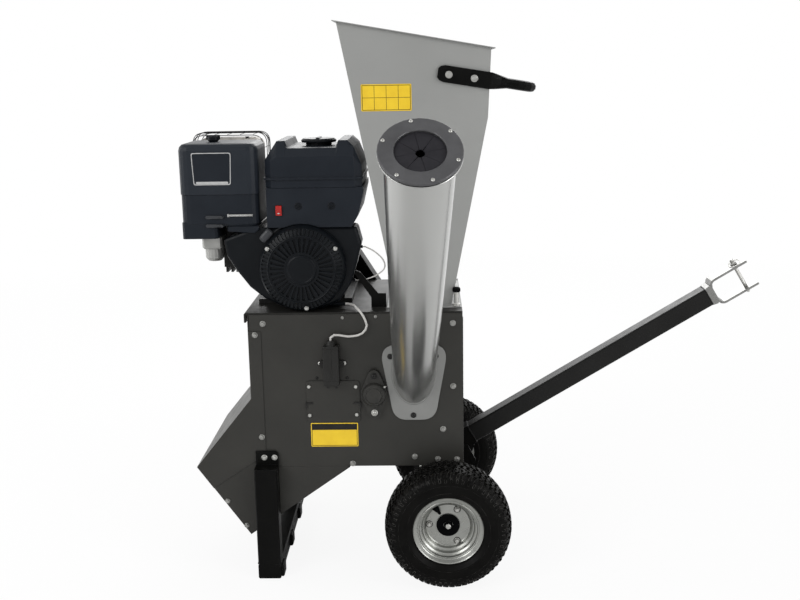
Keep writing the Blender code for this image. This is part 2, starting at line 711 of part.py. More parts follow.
def build_wall_fittings():
    """Access cover, interlock switch box and the two shaft bearings."""
    left = COVER_LEFT
    low = HOUSING_BOTTOM + COVER_ABOVE
    outline = rounded([(left, low), (left + COVER_LENGTH, low),
                       (left + COVER_LENGTH, low + COVER_HEIGHT), (left, low + COVER_HEIGHT)],
                      COVER_CORNER, 3)
    face = -HALF_WIDTH - GAP
    place("access_cover", outline_prism(outline, face - COVER_SHEET, face), HOUSING_PAINT)

    left = BOX_LEFT
    low = HOUSING_BOTTOM + BOX_ABOVE
    back = face - COVER_SHEET - GAP
    right = left + BOX_LENGTH
    box = place("switch_box",
                block((left, face - BOX_DEPTH, low), (right, back, low + BOX_HEIGHT), 0.003, 2),
                BLACK_PLASTIC)
    half = BOX_EAR_HEIGHT / 2
    middle = low + BOX_HEIGHT / 2
    ears = rounded([(left - BOX_EAR, middle - half), (right + BOX_EAR, middle - half),
                    (right + BOX_EAR, middle + half), (left - BOX_EAR, middle + half)],
                   half * 0.8, 3)
    weld(box, outline_prism(ears, back - COVER_SHEET, face), "ears")
    boot = BOOT_DIAMETER / 2
    boot_profile = [(0, -0.004), (boot, -0.004), (boot, BOOT_HEIGHT * 0.4),
                    (boot * 0.65, BOOT_HEIGHT), (0, BOOT_HEIGHT)]
    weld(box, turned(boot_profile, 14,
                     upright(left + BOX_LENGTH / 2, (face - BOX_DEPTH + back) / 2,
                             low + BOX_HEIGHT)), "boot")

    reach = BEARING_LENGTH / 2
    ear_radius = reach - BEARING_BOLTS / 2
    body = BEARING_BODY / 2
    for side, sign in SIDES.items():
        spread = atan2(body - ear_radius, BEARING_BOLTS / 2)
        tilt = spread * 180 / pi
        outline = (arc(SHAFT_X, SHAFT_Z + BEARING_BOLTS / 2, ear_radius, tilt, 180 - tilt, 6)
                   + arc(SHAFT_X, SHAFT_Z, body, 180 - tilt, 180 + tilt, 4)
                   + arc(SHAFT_X, SHAFT_Z - BEARING_BOLTS / 2, ear_radius, 180 + tilt,
                         360 - tilt, 6)
                   + arc(SHAFT_X, SHAFT_Z, body, 360 - tilt, 360 + tilt, 4))
        seat = sign * (HALF_WIDTH + GAP)
        flange = outline_prism(outline, seat, seat + sign * BEARING_FLANGE)
        bearing = place(side + "_bearing", flange, CAST_METAL)
        frame = along_y(SHAFT_X, seat, SHAFT_Z) @ (
            Matrix.Identity(4) if sign > 0 else Matrix.Rotation(pi, 4, "X"))
        cap = [(0, 0.002), (body - 0.001, 0.002), (body - 0.001, BEARING_FLANGE),
               (body - 0.005, BEARING_DEPTH - 0.003), (body - 0.008, BEARING_DEPTH),
               (0.022, BEARING_DEPTH), (0.019, BEARING_DEPTH + 0.004), (0, BEARING_DEPTH + 0.004)]
        weld(bearing, turned(cap, 20, frame), "body")
        bore = SHAFT_DIAMETER / 2 + RUNNING_GAP
        end = BEARING_DEPTH - 0.004 if sign < 0 else BEARING_DEPTH + 0.02
        cut(bearing, rod(bore, -0.02, end, frame, 20), "bore")


def build_rotor():
    """Shaft, disc with welded paddles, two chipping knives and the fixed anvil."""
    pivot = (SHAFT_X, 0, SHAFT_Z)
    near_end = -HALF_WIDTH - GAP - BEARING_DEPTH + 0.006
    far_end = HALF_WIDTH + BELT_LINE + PULLEY_WIDTH / 2 + 0.004
    chamfer = 0.001
    radius = SHAFT_DIAMETER / 2
    profile = [(0, near_end), (radius - chamfer, near_end), (radius, near_end + chamfer),
               (radius, far_end - chamfer), (radius - chamfer, far_end), (0, far_end)]
    place("rotor_shaft", turned(profile, 20, along_y(SHAFT_X, 0, SHAFT_Z)), STEEL, pivot)

    disc_near = -HALF_WIDTH + SHEET + DISC_SETBACK
    disc_far = disc_near + DISC_THICKNESS
    paddle_far = HALF_WIDTH - SHEET - PADDLE_END_GAP
    hub = ROTOR_HUB_DIAMETER / 2
    profile = [(radius + GAP, disc_near), (ROTOR_RADIUS, disc_near), (ROTOR_RADIUS, disc_far),
               (hub, disc_far), (hub, paddle_far), (radius + GAP, paddle_far)]
    disc = place("rotor_disc", turned(profile, 36, along_y(SHAFT_X, 0, SHAFT_Z)), STEEL, pivot)
    for index in range(PADDLES):
        turn = 2 * pi * index / PADDLES + pi / PADDLES
        inner = hub - 0.004
        outer = ROTOR_RADIUS - 0.003
        half = PADDLE_THICKNESS / 2
        outline = []
        for reach, offset in ((inner, -half), (outer, -half), (outer, half), (inner, half)):
            outline.append((SHAFT_X + reach * cos(turn) - offset * sin(turn),
                            SHAFT_Z + reach * sin(turn) + offset * cos(turn)))
        weld(disc, outline_prism(outline, disc_far - 0.003, paddle_far - 0.004),
             "paddle_" + str(index))
    for index, letter in enumerate("ab"):
        turn = pi * index
        along = Vector((cos(turn), 0, sin(turn)))
        across = Vector((-sin(turn), 0, cos(turn)))
        centre = Vector((SHAFT_X, 0, SHAFT_Z))
        bevel = 0.006
        sections = []
        for reach in (KNIFE_INNER, KNIFE_INNER + KNIFE_LENGTH):
            base = centre + along * reach
            back = base - across * (KNIFE_WIDTH * 0.72)
            front = base + across * (KNIFE_WIDTH * 0.28)
            near_y = disc_near - GAP - KNIFE_THICKNESS
            sections.append([(back.x, disc_near - GAP, back.z), (back.x, near_y, back.z),
                             (front.x, near_y, front.z),
                             ((front - across * bevel).x, disc_near - GAP,
                              (front - across * bevel).z)])
        place("chipping_knife_" + letter, swept(sections), ZINC, pivot)
        window = []
        for reach, offset in ((KNIFE_INNER, 0.0), (KNIFE_INNER + KNIFE_LENGTH, 0.0),
                              (KNIFE_INNER + KNIFE_LENGTH, KNIFE_SLOT), (KNIFE_INNER, KNIFE_SLOT)):
            point = centre + along * reach + across * (KNIFE_WIDTH * 0.28 + offset)
            window.append((point.x, point.z))
        cut(disc, outline_prism(window, disc_near - 0.01, disc_far + 0.01), "chip_slot_" + letter)

    face = -HALF_WIDTH + SHEET + GAP
    top = FEED_Z - FEED_BORE / cos(radians(FEED_ELEVATION)) - 0.004
    half = ANVIL_LENGTH / 2
    slope = 0.004
    sections = []
    for x in (FEED_X - half, FEED_X + half):
        sections.append([(x, face, top - ANVIL_HEIGHT),
                         (x, face + ANVIL_THICKNESS, top - ANVIL_HEIGHT),
                         (x, face + ANVIL_THICKNESS, top), (x, face, top - slope)])
    place("anvil", swept(sections), STEEL)


def build_feed():
    """Feed tube with its wall plate and mouth flange, the rubber flap and the ring."""
    tube_end = FEED_LENGTH - RING_THICKNESS - FLAP_THICKNESS - 2 * GAP
    outer = FEED_DIAMETER / 2
    profile = [(0, -outer), (outer, -outer), (outer, tube_end - MOUTH_FLANGE),
               (RING_DIAMETER / 2, tube_end - MOUTH_FLANGE), (RING_DIAMETER / 2, tube_end),
               (0, tube_end)]
    tube = place("feed_tube", turned(profile, FEED_SEGMENTS, FEED_FRAME), SILVER_PAINT)
    back = -HALF_WIDTH - GAP
    cut(tube, block((FEED_X - 0.5, back - FOOT_PLATE / 2, FEED_Z - 0.5),
                    (FEED_X + 0.5, back + 0.5, FEED_Z + 0.5)), "wall_face")
    top = FEED_Z + FOOT_ABOVE
    low = FEED_Z - FOOT_BELOW
    outline = rounded([(FEED_X - FOOT_BOTTOM_WIDTH / 2, low), (FEED_X + FOOT_BOTTOM_WIDTH / 2, low),
                       (FEED_X + FOOT_TOP_WIDTH / 2, top), (FEED_X - FOOT_TOP_WIDTH / 2, top)],
                      FOOT_CORNER, 5)
    weld(tube, outline_prism(outline, back - FOOT_PLATE, back), "foot_plate")
    cut(tube, feed_cutter(), "bore")

    flap_low = tube_end + GAP
    rim = RING_DIAMETER / 2
    profile = [(FLAP_CENTRE_HOLE / 2, flap_low), (rim - 0.002, flap_low),
               (rim - 0.002, flap_low + FLAP_THICKNESS),
               (FLAP_CENTRE_HOLE / 2, flap_low + FLAP_THICKNESS)]
    flap = place("feed_flap", turned(profile, FEED_SEGMENTS, FEED_FRAME), RUBBER)
    for index in range(FLAP_SLITS):
        half = RING_HOLE / 2 - 0.004
        slit = block((-half, -FLAP_SLIT_WIDTH / 2, flap_low - 0.01),
                     (half, FLAP_SLIT_WIDTH / 2, flap_low + FLAP_THICKNESS + 0.01))
        turn = Matrix.Rotation(pi * (index + 0.35) / FLAP_SLITS, 4, "Z")
        bmesh.ops.transform(slit, matrix=FEED_FRAME @ turn, verts=slit.verts)
        cut(flap, slit, "slit_" + str(index))

    ring_low = flap_low + FLAP_THICKNESS + GAP
    edge = 0.0015
    profile = [(RING_HOLE / 2, ring_low), (rim, ring_low), (rim, ring_low + RING_THICKNESS - edge),
               (rim - edge, ring_low + RING_THICKNESS),
               (RING_HOLE / 2 + edge, ring_low + RING_THICKNESS),
               (RING_HOLE / 2, ring_low + RING_THICKNESS - edge)]
    place("feed_ring", turned(profile, FEED_SEGMENTS, FEED_FRAME), RING_PAINT)


def hopper_depth(height):
    """Half of the hopper's width along Y at a height above the bed."""
    share = height / HOPPER_HIGH
    return (HOPPER_BASE_WIDTH + (HOPPER_RIM_WIDTH - HOPPER_BASE_WIDTH) * share) / 2


def build_hopper():
    """Folded hopper with its base flange and rim, the U handle and a base bolt."""
    left = SHAFT_X + HOPPER_BASE_LEFT
    right = left + HOPPER_BASE_LENGTH
    floor = BED_TOP + GAP
    sheet = HOPPER_SHEET
    reach = HOPPER_FLANGE
    knee_left = left - HOPPER_FLARE_LEFT * HOPPER_KNEE / HOPPER_HIGH
    knee_right = right + HOPPER_FLARE_RIGHT
    rim_left = left - HOPPER_FLARE_LEFT
    rim_right = knee_right + HOPPER_KNEE_LEAN
    slope = atan2(HOPPER_HIGH - HOPPER_LOW, rim_right - rim_left)
    run, drop = HOPPER_LIP * cos(slope), HOPPER_LIP * sin(slope)
    half = HOPPER_BASE_WIDTH / 2
    levels = [((left, half, sheet), (right, half, sheet)),
              ((knee_left, hopper_depth(HOPPER_KNEE), HOPPER_KNEE),
               (knee_right, hopper_depth(HOPPER_KNEE), HOPPER_KNEE)),
              ((rim_left, hopper_depth(HOPPER_HIGH), HOPPER_HIGH),
               (rim_right, hopper_depth(HOPPER_LOW), HOPPER_LOW))]
    flange = ((left - reach, half + reach), (right + reach, half + reach))
    lip = ((rim_left - run, hopper_depth(HOPPER_HIGH) + HOPPER_LIP, HOPPER_HIGH + drop),
           (rim_right + run, hopper_depth(HOPPER_LOW) + HOPPER_LIP, HOPPER_LOW - drop))
    outside = [[(x, y, 0.0) for x, y in flange], [(x, y, sheet) for x, y in flange]]
    outside += [list(level) for level in levels[:2]]
    outside.append([(x, y, z - sheet) for x, y, z in levels[2]])
    outside.append([(x, y, z - sheet) for x, y, z in lip])
    inside = [list(lip)]
    for level in reversed(levels):
        inside.append([(x + sheet * way, y - sheet, z) for (x, y, z), way in zip(level, (1, -1))])
    inside.append([(x + sheet * way, y - sheet, 0.0) for (x, y, z), way in zip(levels[0], (1, -1))])
    rings = [[(a[0], -a[1], floor + a[2]), (b[0], -b[1], floor + b[2]), (b[0], b[1], floor + b[2]),
              (a[0], a[1], floor + a[2])] for a, b in outside + inside]
    place("hopper", swept(rings + rings[:1], closed_ends=False), HOPPER_PAINT)

    spot = (right + HOPPER_FLANGE / 2, -HOPPER_BASE_WIDTH / 2 - HOPPER_FLANGE / 2)
    seat = floor + sheet + GAP
    radius = BASE_BOLT_DIAMETER / 2
    cap = BASE_BOLT_CAP / 2
    height = BASE_BOLT_HEIGHT
    profile = [(0, seat), (cap, seat), (cap, seat + 0.006), (radius, seat + 0.006),
               (radius, seat + height), (cap * 0.75, seat + height),
               (cap * 0.75, seat + height + 0.010),
               (cap * 0.55, seat + height + 0.014), (0, seat + height + 0.014)]
    place("hopper_base_bolt", turned(profile, 14, upright(*spot, 0)), ZINC)
    build_handle()


def build_handle():
    """U-shaped tube handle whose two ends are pressed flat against the hopper."""
    slope = radians(HANDLE_SLOPE)
    start = Vector((SHAFT_X + HANDLE_FROM_SHAFT, 0, BED_TOP + HANDLE_ABOVE_BED))
    lean = atan2((HOPPER_RIM_WIDTH - HOPPER_BASE_WIDTH) / 2, HOPPER_HIGH)
    tube = HANDLE_TUBE / 2
    flat_half = HANDLE_FLAT_THICKNESS / 2
    seat_height = HANDLE_ABOVE_BED - GAP
    line = hopper_depth(seat_height) + (1.4 * GAP + flat_half) / cos(lean)
    along = Vector((cos(slope), 0, -sin(slope)))
    rise = Vector((sin(slope), 0, cos(slope)))
    flat = HANDLE_FLAT_LENGTH
    wide = HANDLE_FLAT_WIDTH / 2
    reach = HANDLE_REACH / cos(slope) - tube
    stations = [(0.0, wide * 0.55, 0), (0.006, wide * 0.85, 0), (0.016, wide, 0),
                (flat - 0.010, wide, 0), (flat, wide * 0.93, 0.25), (flat + 0.014, wide * 0.78, 0.7),
                (flat + 0.030, tube, 1)]
    sections = []
    for sign in (-1, 1):
        half = []
        for distance, height, roundness in stations:
            centre = start + along * distance
            thick = flat_half + (tube - flat_half) * roundness
            drop = (start.z - centre.z) * tan(lean)
            out = line - drop + (thick - flat_half)
            half.append((centre, Vector((0, sign * out, 0)), height, thick, along,
                         Vector((0, sign, 0)), lean * (1 - roundness), roundness))
        out = line + tube - flat_half - (reach * sin(slope)) * tan(lean)
        bend = HANDLE_BEND
        for step in range(5):
            turn = radians(90) * step / 4
            centre = start + along * (reach - bend + bend * sin(turn))
            side = Vector((0, sign * (out - bend + bend * cos(turn)), 0))
            heading = along * cos(turn) + Vector((0, -sign * sin(turn), 0))
            facing = along * sin(turn) + Vector((0, sign * cos(turn), 0))
            half.append((centre, side, tube, tube, heading, facing, 0, 1))
        rings = []
        for centre, side, height, thick, _, facing, tilt, roundness in half:
            ring = []
            for step in range(HANDLE_SIDES):
                turn = 2 * pi * (step + 0.5) / HANDLE_SIDES
                round_v, round_u = sin(turn), cos(turn)
                flat_v = max(-1.0, min(1.0, round_v * 1.5))
                flat_u = max(-1.0, min(1.0, round_u * 1.8))
                v = (flat_v + (round_v - flat_v) * roundness) * height
                u = (flat_u + (round_u - flat_u) * roundness) * thick
                outward = facing * u + rise * v
                if tilt:
                    outward += Vector((0, sign * v * tan(tilt), 0))
                ring.append(centre + side + outward)
            rings.append(ring)
        if sign < 0:
            sections = rings
        else:
            sections += list(reversed(rings))
    place("hopper_handle", swept(sections), BLACK_PAINT)


def groove_profile(diameter, bore, middle, width):
    """Closed (radius, height) profile of a one-groove pulley about the belt's middle."""
    outer = diameter / 2
    floor = outer - GROOVE_DEPTH
    half = width / 2
    flank = radians(BELT_FLANK)
    mouth = BELT_WIDTH / 2 + GAP / cos(flank) + BELT_SINK * tan(flank)
    throat = mouth - GROOVE_DEPTH * tan(flank)
    return [(bore, middle - half), (outer, middle - half), (outer, middle - mouth),
            (floor, middle - throat), (floor, middle + throat), (outer, middle + mouth),
            (outer, middle + half), (bore, middle + half)]


def build_drive():
    """Rotor pulley, engine shaft, clutch pulley, V belt and the belt guard."""
    middle = HALF_WIDTH + BELT_LINE
    rotor_pivot = (SHAFT_X, 0, SHAFT_Z)
    crank_pivot = (CRANK_X, 0, CRANK_Z)
    shaft = SHAFT_DIAMETER / 2 + GAP
    place("rotor_pulley", turned(groove_profile(ROTOR_PULLEY_DIAMETER, shaft, middle, PULLEY_WIDTH),
                                 28, along_y(SHAFT_X, 0, SHAFT_Z)), CAST_METAL, rotor_pivot)
    crank = CRANK_DIAMETER / 2
    profile = groove_profile(CLUTCH_DIAMETER, crank + GAP, middle, PULLEY_WIDTH)
    drum = CLUTCH_DIAMETER / 2 - 0.008
    inner_end = middle - PULLEY_WIDTH / 2
    drum_end = inner_end - 0.012
    profile = [(crank + GAP, drum_end), (drum, drum_end), (drum, inner_end)] + profile[1:]
    place("clutch_pulley", turned(profile, 24, along_y(CRANK_X, 0, CRANK_Z)), STEEL, crank_pivot)
    stub_start = CRANKCASE_FAR - 0.030
    stub_end = middle + PULLEY_WIDTH / 2 + 0.004
    profile = [(0, stub_start), (crank, stub_start), (crank, stub_end - 0.001),
               (crank - 0.001, stub_end), (0, stub_end)]
    place("crank_stub", turned(profile, 20, along_y(CRANK_X, 0, CRANK_Z)), STEEL, crank_pivot)

    rotor_line = ROTOR_PULLEY_DIAMETER / 2 - BELT_SINK - BELT_DEPTH / 2
    clutch_line = CLUTCH_DIAMETER / 2 - BELT_SINK - BELT_DEPTH / 2
    path = belt_path(rotor_line, clutch_line, 16)
    top_half = BELT_WIDTH / 2
    low_half = top_half - BELT_DEPTH * tan(radians(BELT_FLANK))
    bm = bmesh.new()
    rings = []
    for x, z, nx, nz in path:
        ring = []
        for out, side in ((BELT_DEPTH / 2, -top_half), (BELT_DEPTH / 2, top_half),
                          (-BELT_DEPTH / 2, low_half), (-BELT_DEPTH / 2, -low_half)):
            ring.append(bm.verts.new((x + nx * out, middle + side, z + nz * out)))
        rings.append(ring)
    for ring, other in zip(rings, rings[1:] + rings[:1]):
        for step in range(4):
            following = (step + 1) % 4
            bm.faces.new((ring[step], ring[following], other[following], other[step]))
    bmesh.ops.recalc_face_normals(bm, faces=bm.faces)
    place("drive_belt", bm, RUBBER)

    back = HALF_WIDTH + GAP
    rotor_edge = ROTOR_PULLEY_DIAMETER / 2 + GUARD_MARGIN
    clutch_edge = CLUTCH_DIAMETER / 2 + GUARD_MARGIN
    outline = [(x, z) for x, z, _, _ in belt_path(rotor_edge, clutch_edge, GUARD_ARC_SEGMENTS)]
    plate = place("belt_guard_back", outline_prism(outline, back, back + GUARD_SHEET), BLACK_PAINT)
    bearing_hole = BEARING_LENGTH / 2 + 0.004
    cut(plate, rod(bearing_hole, -1, 1, along_y(SHAFT_X, 0, SHAFT_Z), 24), "bearing_hole")
    cut(plate, rod(PTO_BOSS_DIAMETER / 2 - 0.014, -1, 1, along_y(CRANK_X, 0, CRANK_Z), 24),
        "crank_hole")
    rim = back + GUARD_SHEET + GAP
    face = rim + GUARD_DEPTH
    count = len(outline)
    step_in = 0.010
    inner = [(x, z) for x, z, _, _ in belt_path(rotor_edge - step_in, clutch_edge - step_in,
                                               GUARD_ARC_SEGMENTS)]
    corners = ([(x, rim, z) for x, z in outline] + [(x, face - step_in, z) for x, z in outline]
               + [(x, face, z) for x, z in inner])
    faces = [tuple(range(2 * count, 3 * count))]
    for level in (0, count):
        for index in range(count):
            after = (index + 1) % count
            faces.append((level + index, level + after, level + count + after,
                          level + count + index))
    centre = ((SHAFT_X + CRANK_X) / 2, rim, (SHAFT_Z + CRANK_Z) / 2)
    folded_sheet("belt_guard", corners, faces, GUARD_SHEET, centre, BLACK_PAINT)


def belt_path(first_radius, second_radius, steps):
    """Points (x, z, nx, nz) round the rotor pulley and the clutch on their outer tangents."""
    dx, dz = CRANK_X - SHAFT_X, CRANK_Z - SHAFT_Z
    heading = atan2(dz, dx)
    opening = acos((first_radius - second_radius) / hypot(dx, dz))
    points = []
    for cx, cz, radius, start, sweep in (
            (SHAFT_X, SHAFT_Z, first_radius, heading + opening, 2 * pi - 2 * opening),
            (CRANK_X, CRANK_Z, second_radius, heading - opening, 2 * opening)):
        for step in range(steps + 1):
            turn = start + sweep * step / steps
            points.append((cx + radius * cos(turn), cz + radius * sin(turn), cos(turn), sin(turn)))
    return points


def build_engine():
    """Single-cylinder petrol engine on the bed."""
    ex, ez = CRANK_X, BED_TOP
    base = ez + GAP
    top = ez + CRANKCASE_HEIGHT
    left = ex - CRANKCASE_LEFT
    right = ex + CRANKCASE_RIGHT
    chamfer = CRANKCASE_CHAMFER
    case = [(left - 0.020, base), (right + 0.020, base), (right + 0.020, base + ENGINE_FOOT),
            (right, base + ENGINE_FOOT), (right, top - 2 * chamfer), (right - 2 * chamfer, top),
            (left + chamfer, top), (left, top - chamfer)]
    fin = ez + CYLINDER_HIGH - 0.012
    low = ez + CYLINDER_LOW
    tops = []
    bottoms = []
    for index in range(FINS):
        root = left - (index + 0.55) * FIN_PITCH
        tip = root - FIN_PITCH * 0.45
        tops += [(root, fin - FIN_DEPTH), (root, fin), (tip, fin), (tip, fin - FIN_DEPTH)]
        bottoms += [(root, low + FIN_DEPTH), (root, low), (tip, low), (tip, low + FIN_DEPTH)]
    head = left - FINS * FIN_PITCH - 0.004
    cylinder = ([(left + 0.02, fin - FIN_DEPTH)] + tops
                + [(head, fin - FIN_DEPTH), (head, low + FIN_DEPTH)]
                + list(reversed(bottoms)) + [(left + 0.02, low + FIN_DEPTH)])
    case += [(left, base + ENGINE_FOOT), (left - 0.020, base + ENGINE_FOOT)]
    engine = place("engine_block", outline_prism(case, CRANKCASE_NEAR, CRANKCASE_FAR), CAST_METAL)
    weld(engine, outline_prism(cylinder, -CYLINDER_HALF_WIDTH, CYLINDER_HALF_WIDTH), "cylinder")
    boss = PTO_BOSS_DIAMETER / 2
    boss_end = CRANKCASE_FAR + PTO_BOSS
    profile = [(0, CRANKCASE_FAR - 0.006), (boss, CRANKCASE_FAR - 0.006), (boss, boss_end - 0.003),
               (boss - 0.003, boss_end), (0, boss_end)]
    weld(engine, turned(profile, 24, along_y(ex, 0, CRANK_Z)), "pto_boss")
    cut(engine, rod(CRANK_DIAMETER / 2 + RUNNING_GAP, CRANKCASE_FAR - 0.034,
                    CRANKCASE_FAR + 0.1, along_y(ex, 0, CRANK_Z), 20), "crank_bore")

    build_blower()
    build_tank()
    build_air_cleaner()
    build_muffler()


def build_blower():
    """Blower housing, vented recoil cover, starter grip and the stay at its right."""
    ex, ez = CRANK_X, CRANK_Z
    low = BED_TOP + GAP - ez
    outline = [(-0.121, 0.103), (-0.203, 0.074), (-0.196, 0.030), (-0.170, -0.012),
               (-0.140, -0.052), (-0.104, -0.082), (-0.060, -0.103), (-0.020, low), (0.045, low),
               (0.092, -0.090), (0.122, -0.045), (0.139, 0.010), (0.151, 0.060), (0.140, 0.103)]
    points = [(ex + x, ez + z) for x, z in outline]
    back = CRANKCASE_NEAR - GAP
    blower = place("blower_housing", outline_prism(points, BLOWER_FRONT, back), BLACK_PLASTIC)
    modifier = blower.modifiers.new("edge", "BEVEL")
    modifier.width = 0.007
    modifier.segments = 2
    modifier.limit_method = "ANGLE"
    modifier.angle_limit = radians(60)

    front = BLOWER_FRONT - 2 * GAP
    depth = RECOIL_DEPTH
    rings = [(RECOIL_RADIUS, front, True), (RECOIL_RADIUS - 0.004, front - depth * 0.62, True),
             (RECOIL_RADIUS - 0.011, front - depth * 0.86, False),
             (RECOIL_RADIUS - 0.030, front - depth * 0.94, True),
             (RECOIL_SLOT_OUTER, front - depth * 0.95, False),
             (RECOIL_SLOT_INNER, front - depth * 0.98, True),
             (RECOIL_CAP_RADIUS, front - depth, True),
             (RECOIL_CAP_RADIUS - 0.003, front - depth - 0.003, True)]
    bm = bmesh.new()
    loops = []
    for radius, y, _ in rings:
        loop = []
        for step in range(RECOIL_SEGMENTS):
            turn = 2 * pi * step / RECOIL_SEGMENTS
            loop.append(bm.verts.new((ex + radius * cos(turn), y, ez + radius * sin(turn))))
        loops.append(loop)
    for index in range(len(loops) - 1):
        solid = rings[index][2]
        for step in range(RECOIL_SEGMENTS):
            if not solid and step % 2:
                continue
            following = (step + 1) % RECOIL_SEGMENTS
            bm.faces.new((loops[index][step], loops[index][following],
                          loops[index + 1][following], loops[index + 1][step]))
    bm.faces.new(loops[-1])
    bmesh.ops.recalc_face_normals(bm, faces=bm.faces)
    bm.normal_update()
    bm.faces.ensure_lookup_table()
    if bm.faces[-1].normal.y > 0:
        bmesh.ops.reverse_faces(bm, faces=bm.faces)
    cover = place("recoil_cover", bm, BLACK_PLASTIC)
    modifier = cover.modifiers.new("wall", "SOLIDIFY")
    modifier.thickness = RECOIL_SHEET
    modifier.offset = -1

    length, thick, height = GRIP_SIZE
    around = radians(GRIP_ANGLE)
    away = RECOIL_RADIUS + height / 2 + 4 * GAP
    gx, gz = ex + away * cos(around), ez + away * sin(around)
    face = BLOWER_FRONT - GAP
    turn = Matrix.Translation((gx, 0, gz)) @ Matrix.Rotation(radians(90) - around, 4, "Y")
    grip_mesh = block((-length / 2, face - thick, -height / 2),
                      (length / 2, face, height / 2), 0.007, 2)
    bmesh.ops.transform(grip_mesh, matrix=turn, verts=grip_mesh.verts)
    place("recoil_grip", grip_mesh, BLACK_PLASTIC, (gx, face - thick / 2, gz))

    for name, z, reach, radius in (("wire_outlet", ez + 0.045, 0.152, 0.004),
                                   ("wire_inlet", ez - 0.043, 0.130, 0.004),
                                   ("lead_outlet", BED_TOP + 0.0105, 0.104, 0.005)):
        y = WIRE_Y if radius < 0.005 else LEAD_Y
        boss = rod(radius, reach - 0.060 if name == "lead_outlet" else reach - 0.030, reach,
                   Matrix.Translation((ex, y, z)) @ Matrix.Rotation(radians(90), 4, "Y"), 12)
        weld(blower, boss, name)

    foot = BED_TOP + GAP
    left = ex + STAY_FROM_CRANK
    right = left + STAY_LENGTH
    edge = ex + 0.1335
    outline = [(left, foot), (right, foot), (right, foot + 0.036), (right - 0.021, foot + 0.036),
               (edge + 0.012, ez - 0.020), (edge, ez - 0.0148), (edge - 0.0028, ez - 0.0245),
               (left, foot + 0.026)]
    middle = (BLOWER_FRONT + CRANKCASE_NEAR) / 2 - 0.014
    sheet = STAY_SHEET / 2
    stay = place("engine_stay", outline_prism(outline, middle - sheet, middle + sheet), BLACK_PAINT)
    weld(stay, block((left, middle - 0.002, foot), (right, middle + 0.026, foot + 0.004)), "foot")


def build_tank():
    """Tank shroud with the stop switch, the fuel tank and its cap."""
    ex, ez = CRANK_X, BED_TOP
    left = ex - TANK_FROM_CRANK
    right = left + TANK_LENGTH
    low = ez + CRANKCASE_HEIGHT + GAP
    top = ez + SHROUD_TOP
    outline = [(left + 0.002, low), (right - 0.028, low), (right - 0.010, low + 0.030),
               (right + 0.004, top - 0.012), (right + 0.004, top), (left + 0.002, top)]
    shroud = place("tank_shroud", outline_prism(outline, SHROUD_NEAR, SHROUD_FAR), BLACK_PLASTIC)
    cut(shroud, rod(RECOIL_RADIUS + 0.0015, -0.5, CRANKCASE_NEAR - 0.5 * RECOIL_DEPTH,
                    along_y(ex, 0, CRANK_Z), 32), "recoil_recess")
    wide, deep, high = SWITCH_SIZE
    sx, sz = left + 0.033, low + 0.044
    cut(shroud, block((sx - wide / 2 - GAP, SHROUD_NEAR - 0.01, sz - high / 2 - 3 * GAP),
                      (sx + wide / 2 + GAP, SHROUD_NEAR + deep, sz + high / 2 + 3 * GAP)),
        "switch_pocket")
    half = high / 2
    face = SHROUD_NEAR
    rocker = [(-0.003, -half), (0.0035, -half), (0.0055, -half * 0.3), (0.0055, half * 0.3),
              (0.0035, half), (-0.003, half)]
    sections = []
    for x in (sx - wide / 2, sx + wide / 2):
        sections.append([(x, face - reach, sz + z) for reach, z in rocker])
    place("stop_switch", swept(sections), RED_PLASTIC, (sx, face + 0.002, sz))

    floor = top + GAP
    deck = floor + TANK_HEIGHT
    tank = place("fuel_tank", swept(tank_sections(left, right, floor, deck)), BLACK_PLASTIC)
    seam = floor + TANK_SEAM_HEIGHT
    edge = TANK_SEAM
    band = rounded_plate((left - edge, TANK_NEAR - edge), (right + edge, TANK_FAR + edge),
                         TANK_CORNER + edge, seam, seam + TANK_SEAM_THICKNESS)
    weld(tank, band, "seam")
    cap_x, cap_y = (left + right) / 2 + 0.006, (TANK_NEAR + TANK_FAR) / 2 - 0.012
    weld(tank, rod(FILLER_DIAMETER / 2, deck - 0.010, deck + FILLER_HEIGHT,
                   upright(cap_x, cap_y, 0), 24), "filler")
    radius = CAP_DIAMETER / 2
    low = deck + GAP
    roof = low + CAP_HEIGHT
    step = low + CAP_SKIRT_HEIGHT
    inner = FILLER_DIAMETER / 2 + GAP
    profile = [(0, low + FILLER_HEIGHT + GAP), (inner, low + FILLER_HEIGHT + GAP), (inner, low),
               (CAP_SKIRT / 2, low), (CAP_SKIRT / 2, step), (radius - 0.002, step),
               (radius, step + 0.002), (radius, roof - 0.004), (radius - 0.005, roof), (0, roof)]
    cap = place("fuel_cap", turned(profile, 24, upright(cap_x, cap_y, 0)), BLACK_PLASTIC,
                (cap_x, cap_y, low))
    rib = block((cap_x - 0.005, cap_y - radius + 0.014, roof - 0.002),
                (cap_x + 0.005, cap_y + radius - 0.014, roof + CAP_RIB), 0.0015, 1)
    weld(cap, rib, "rib")


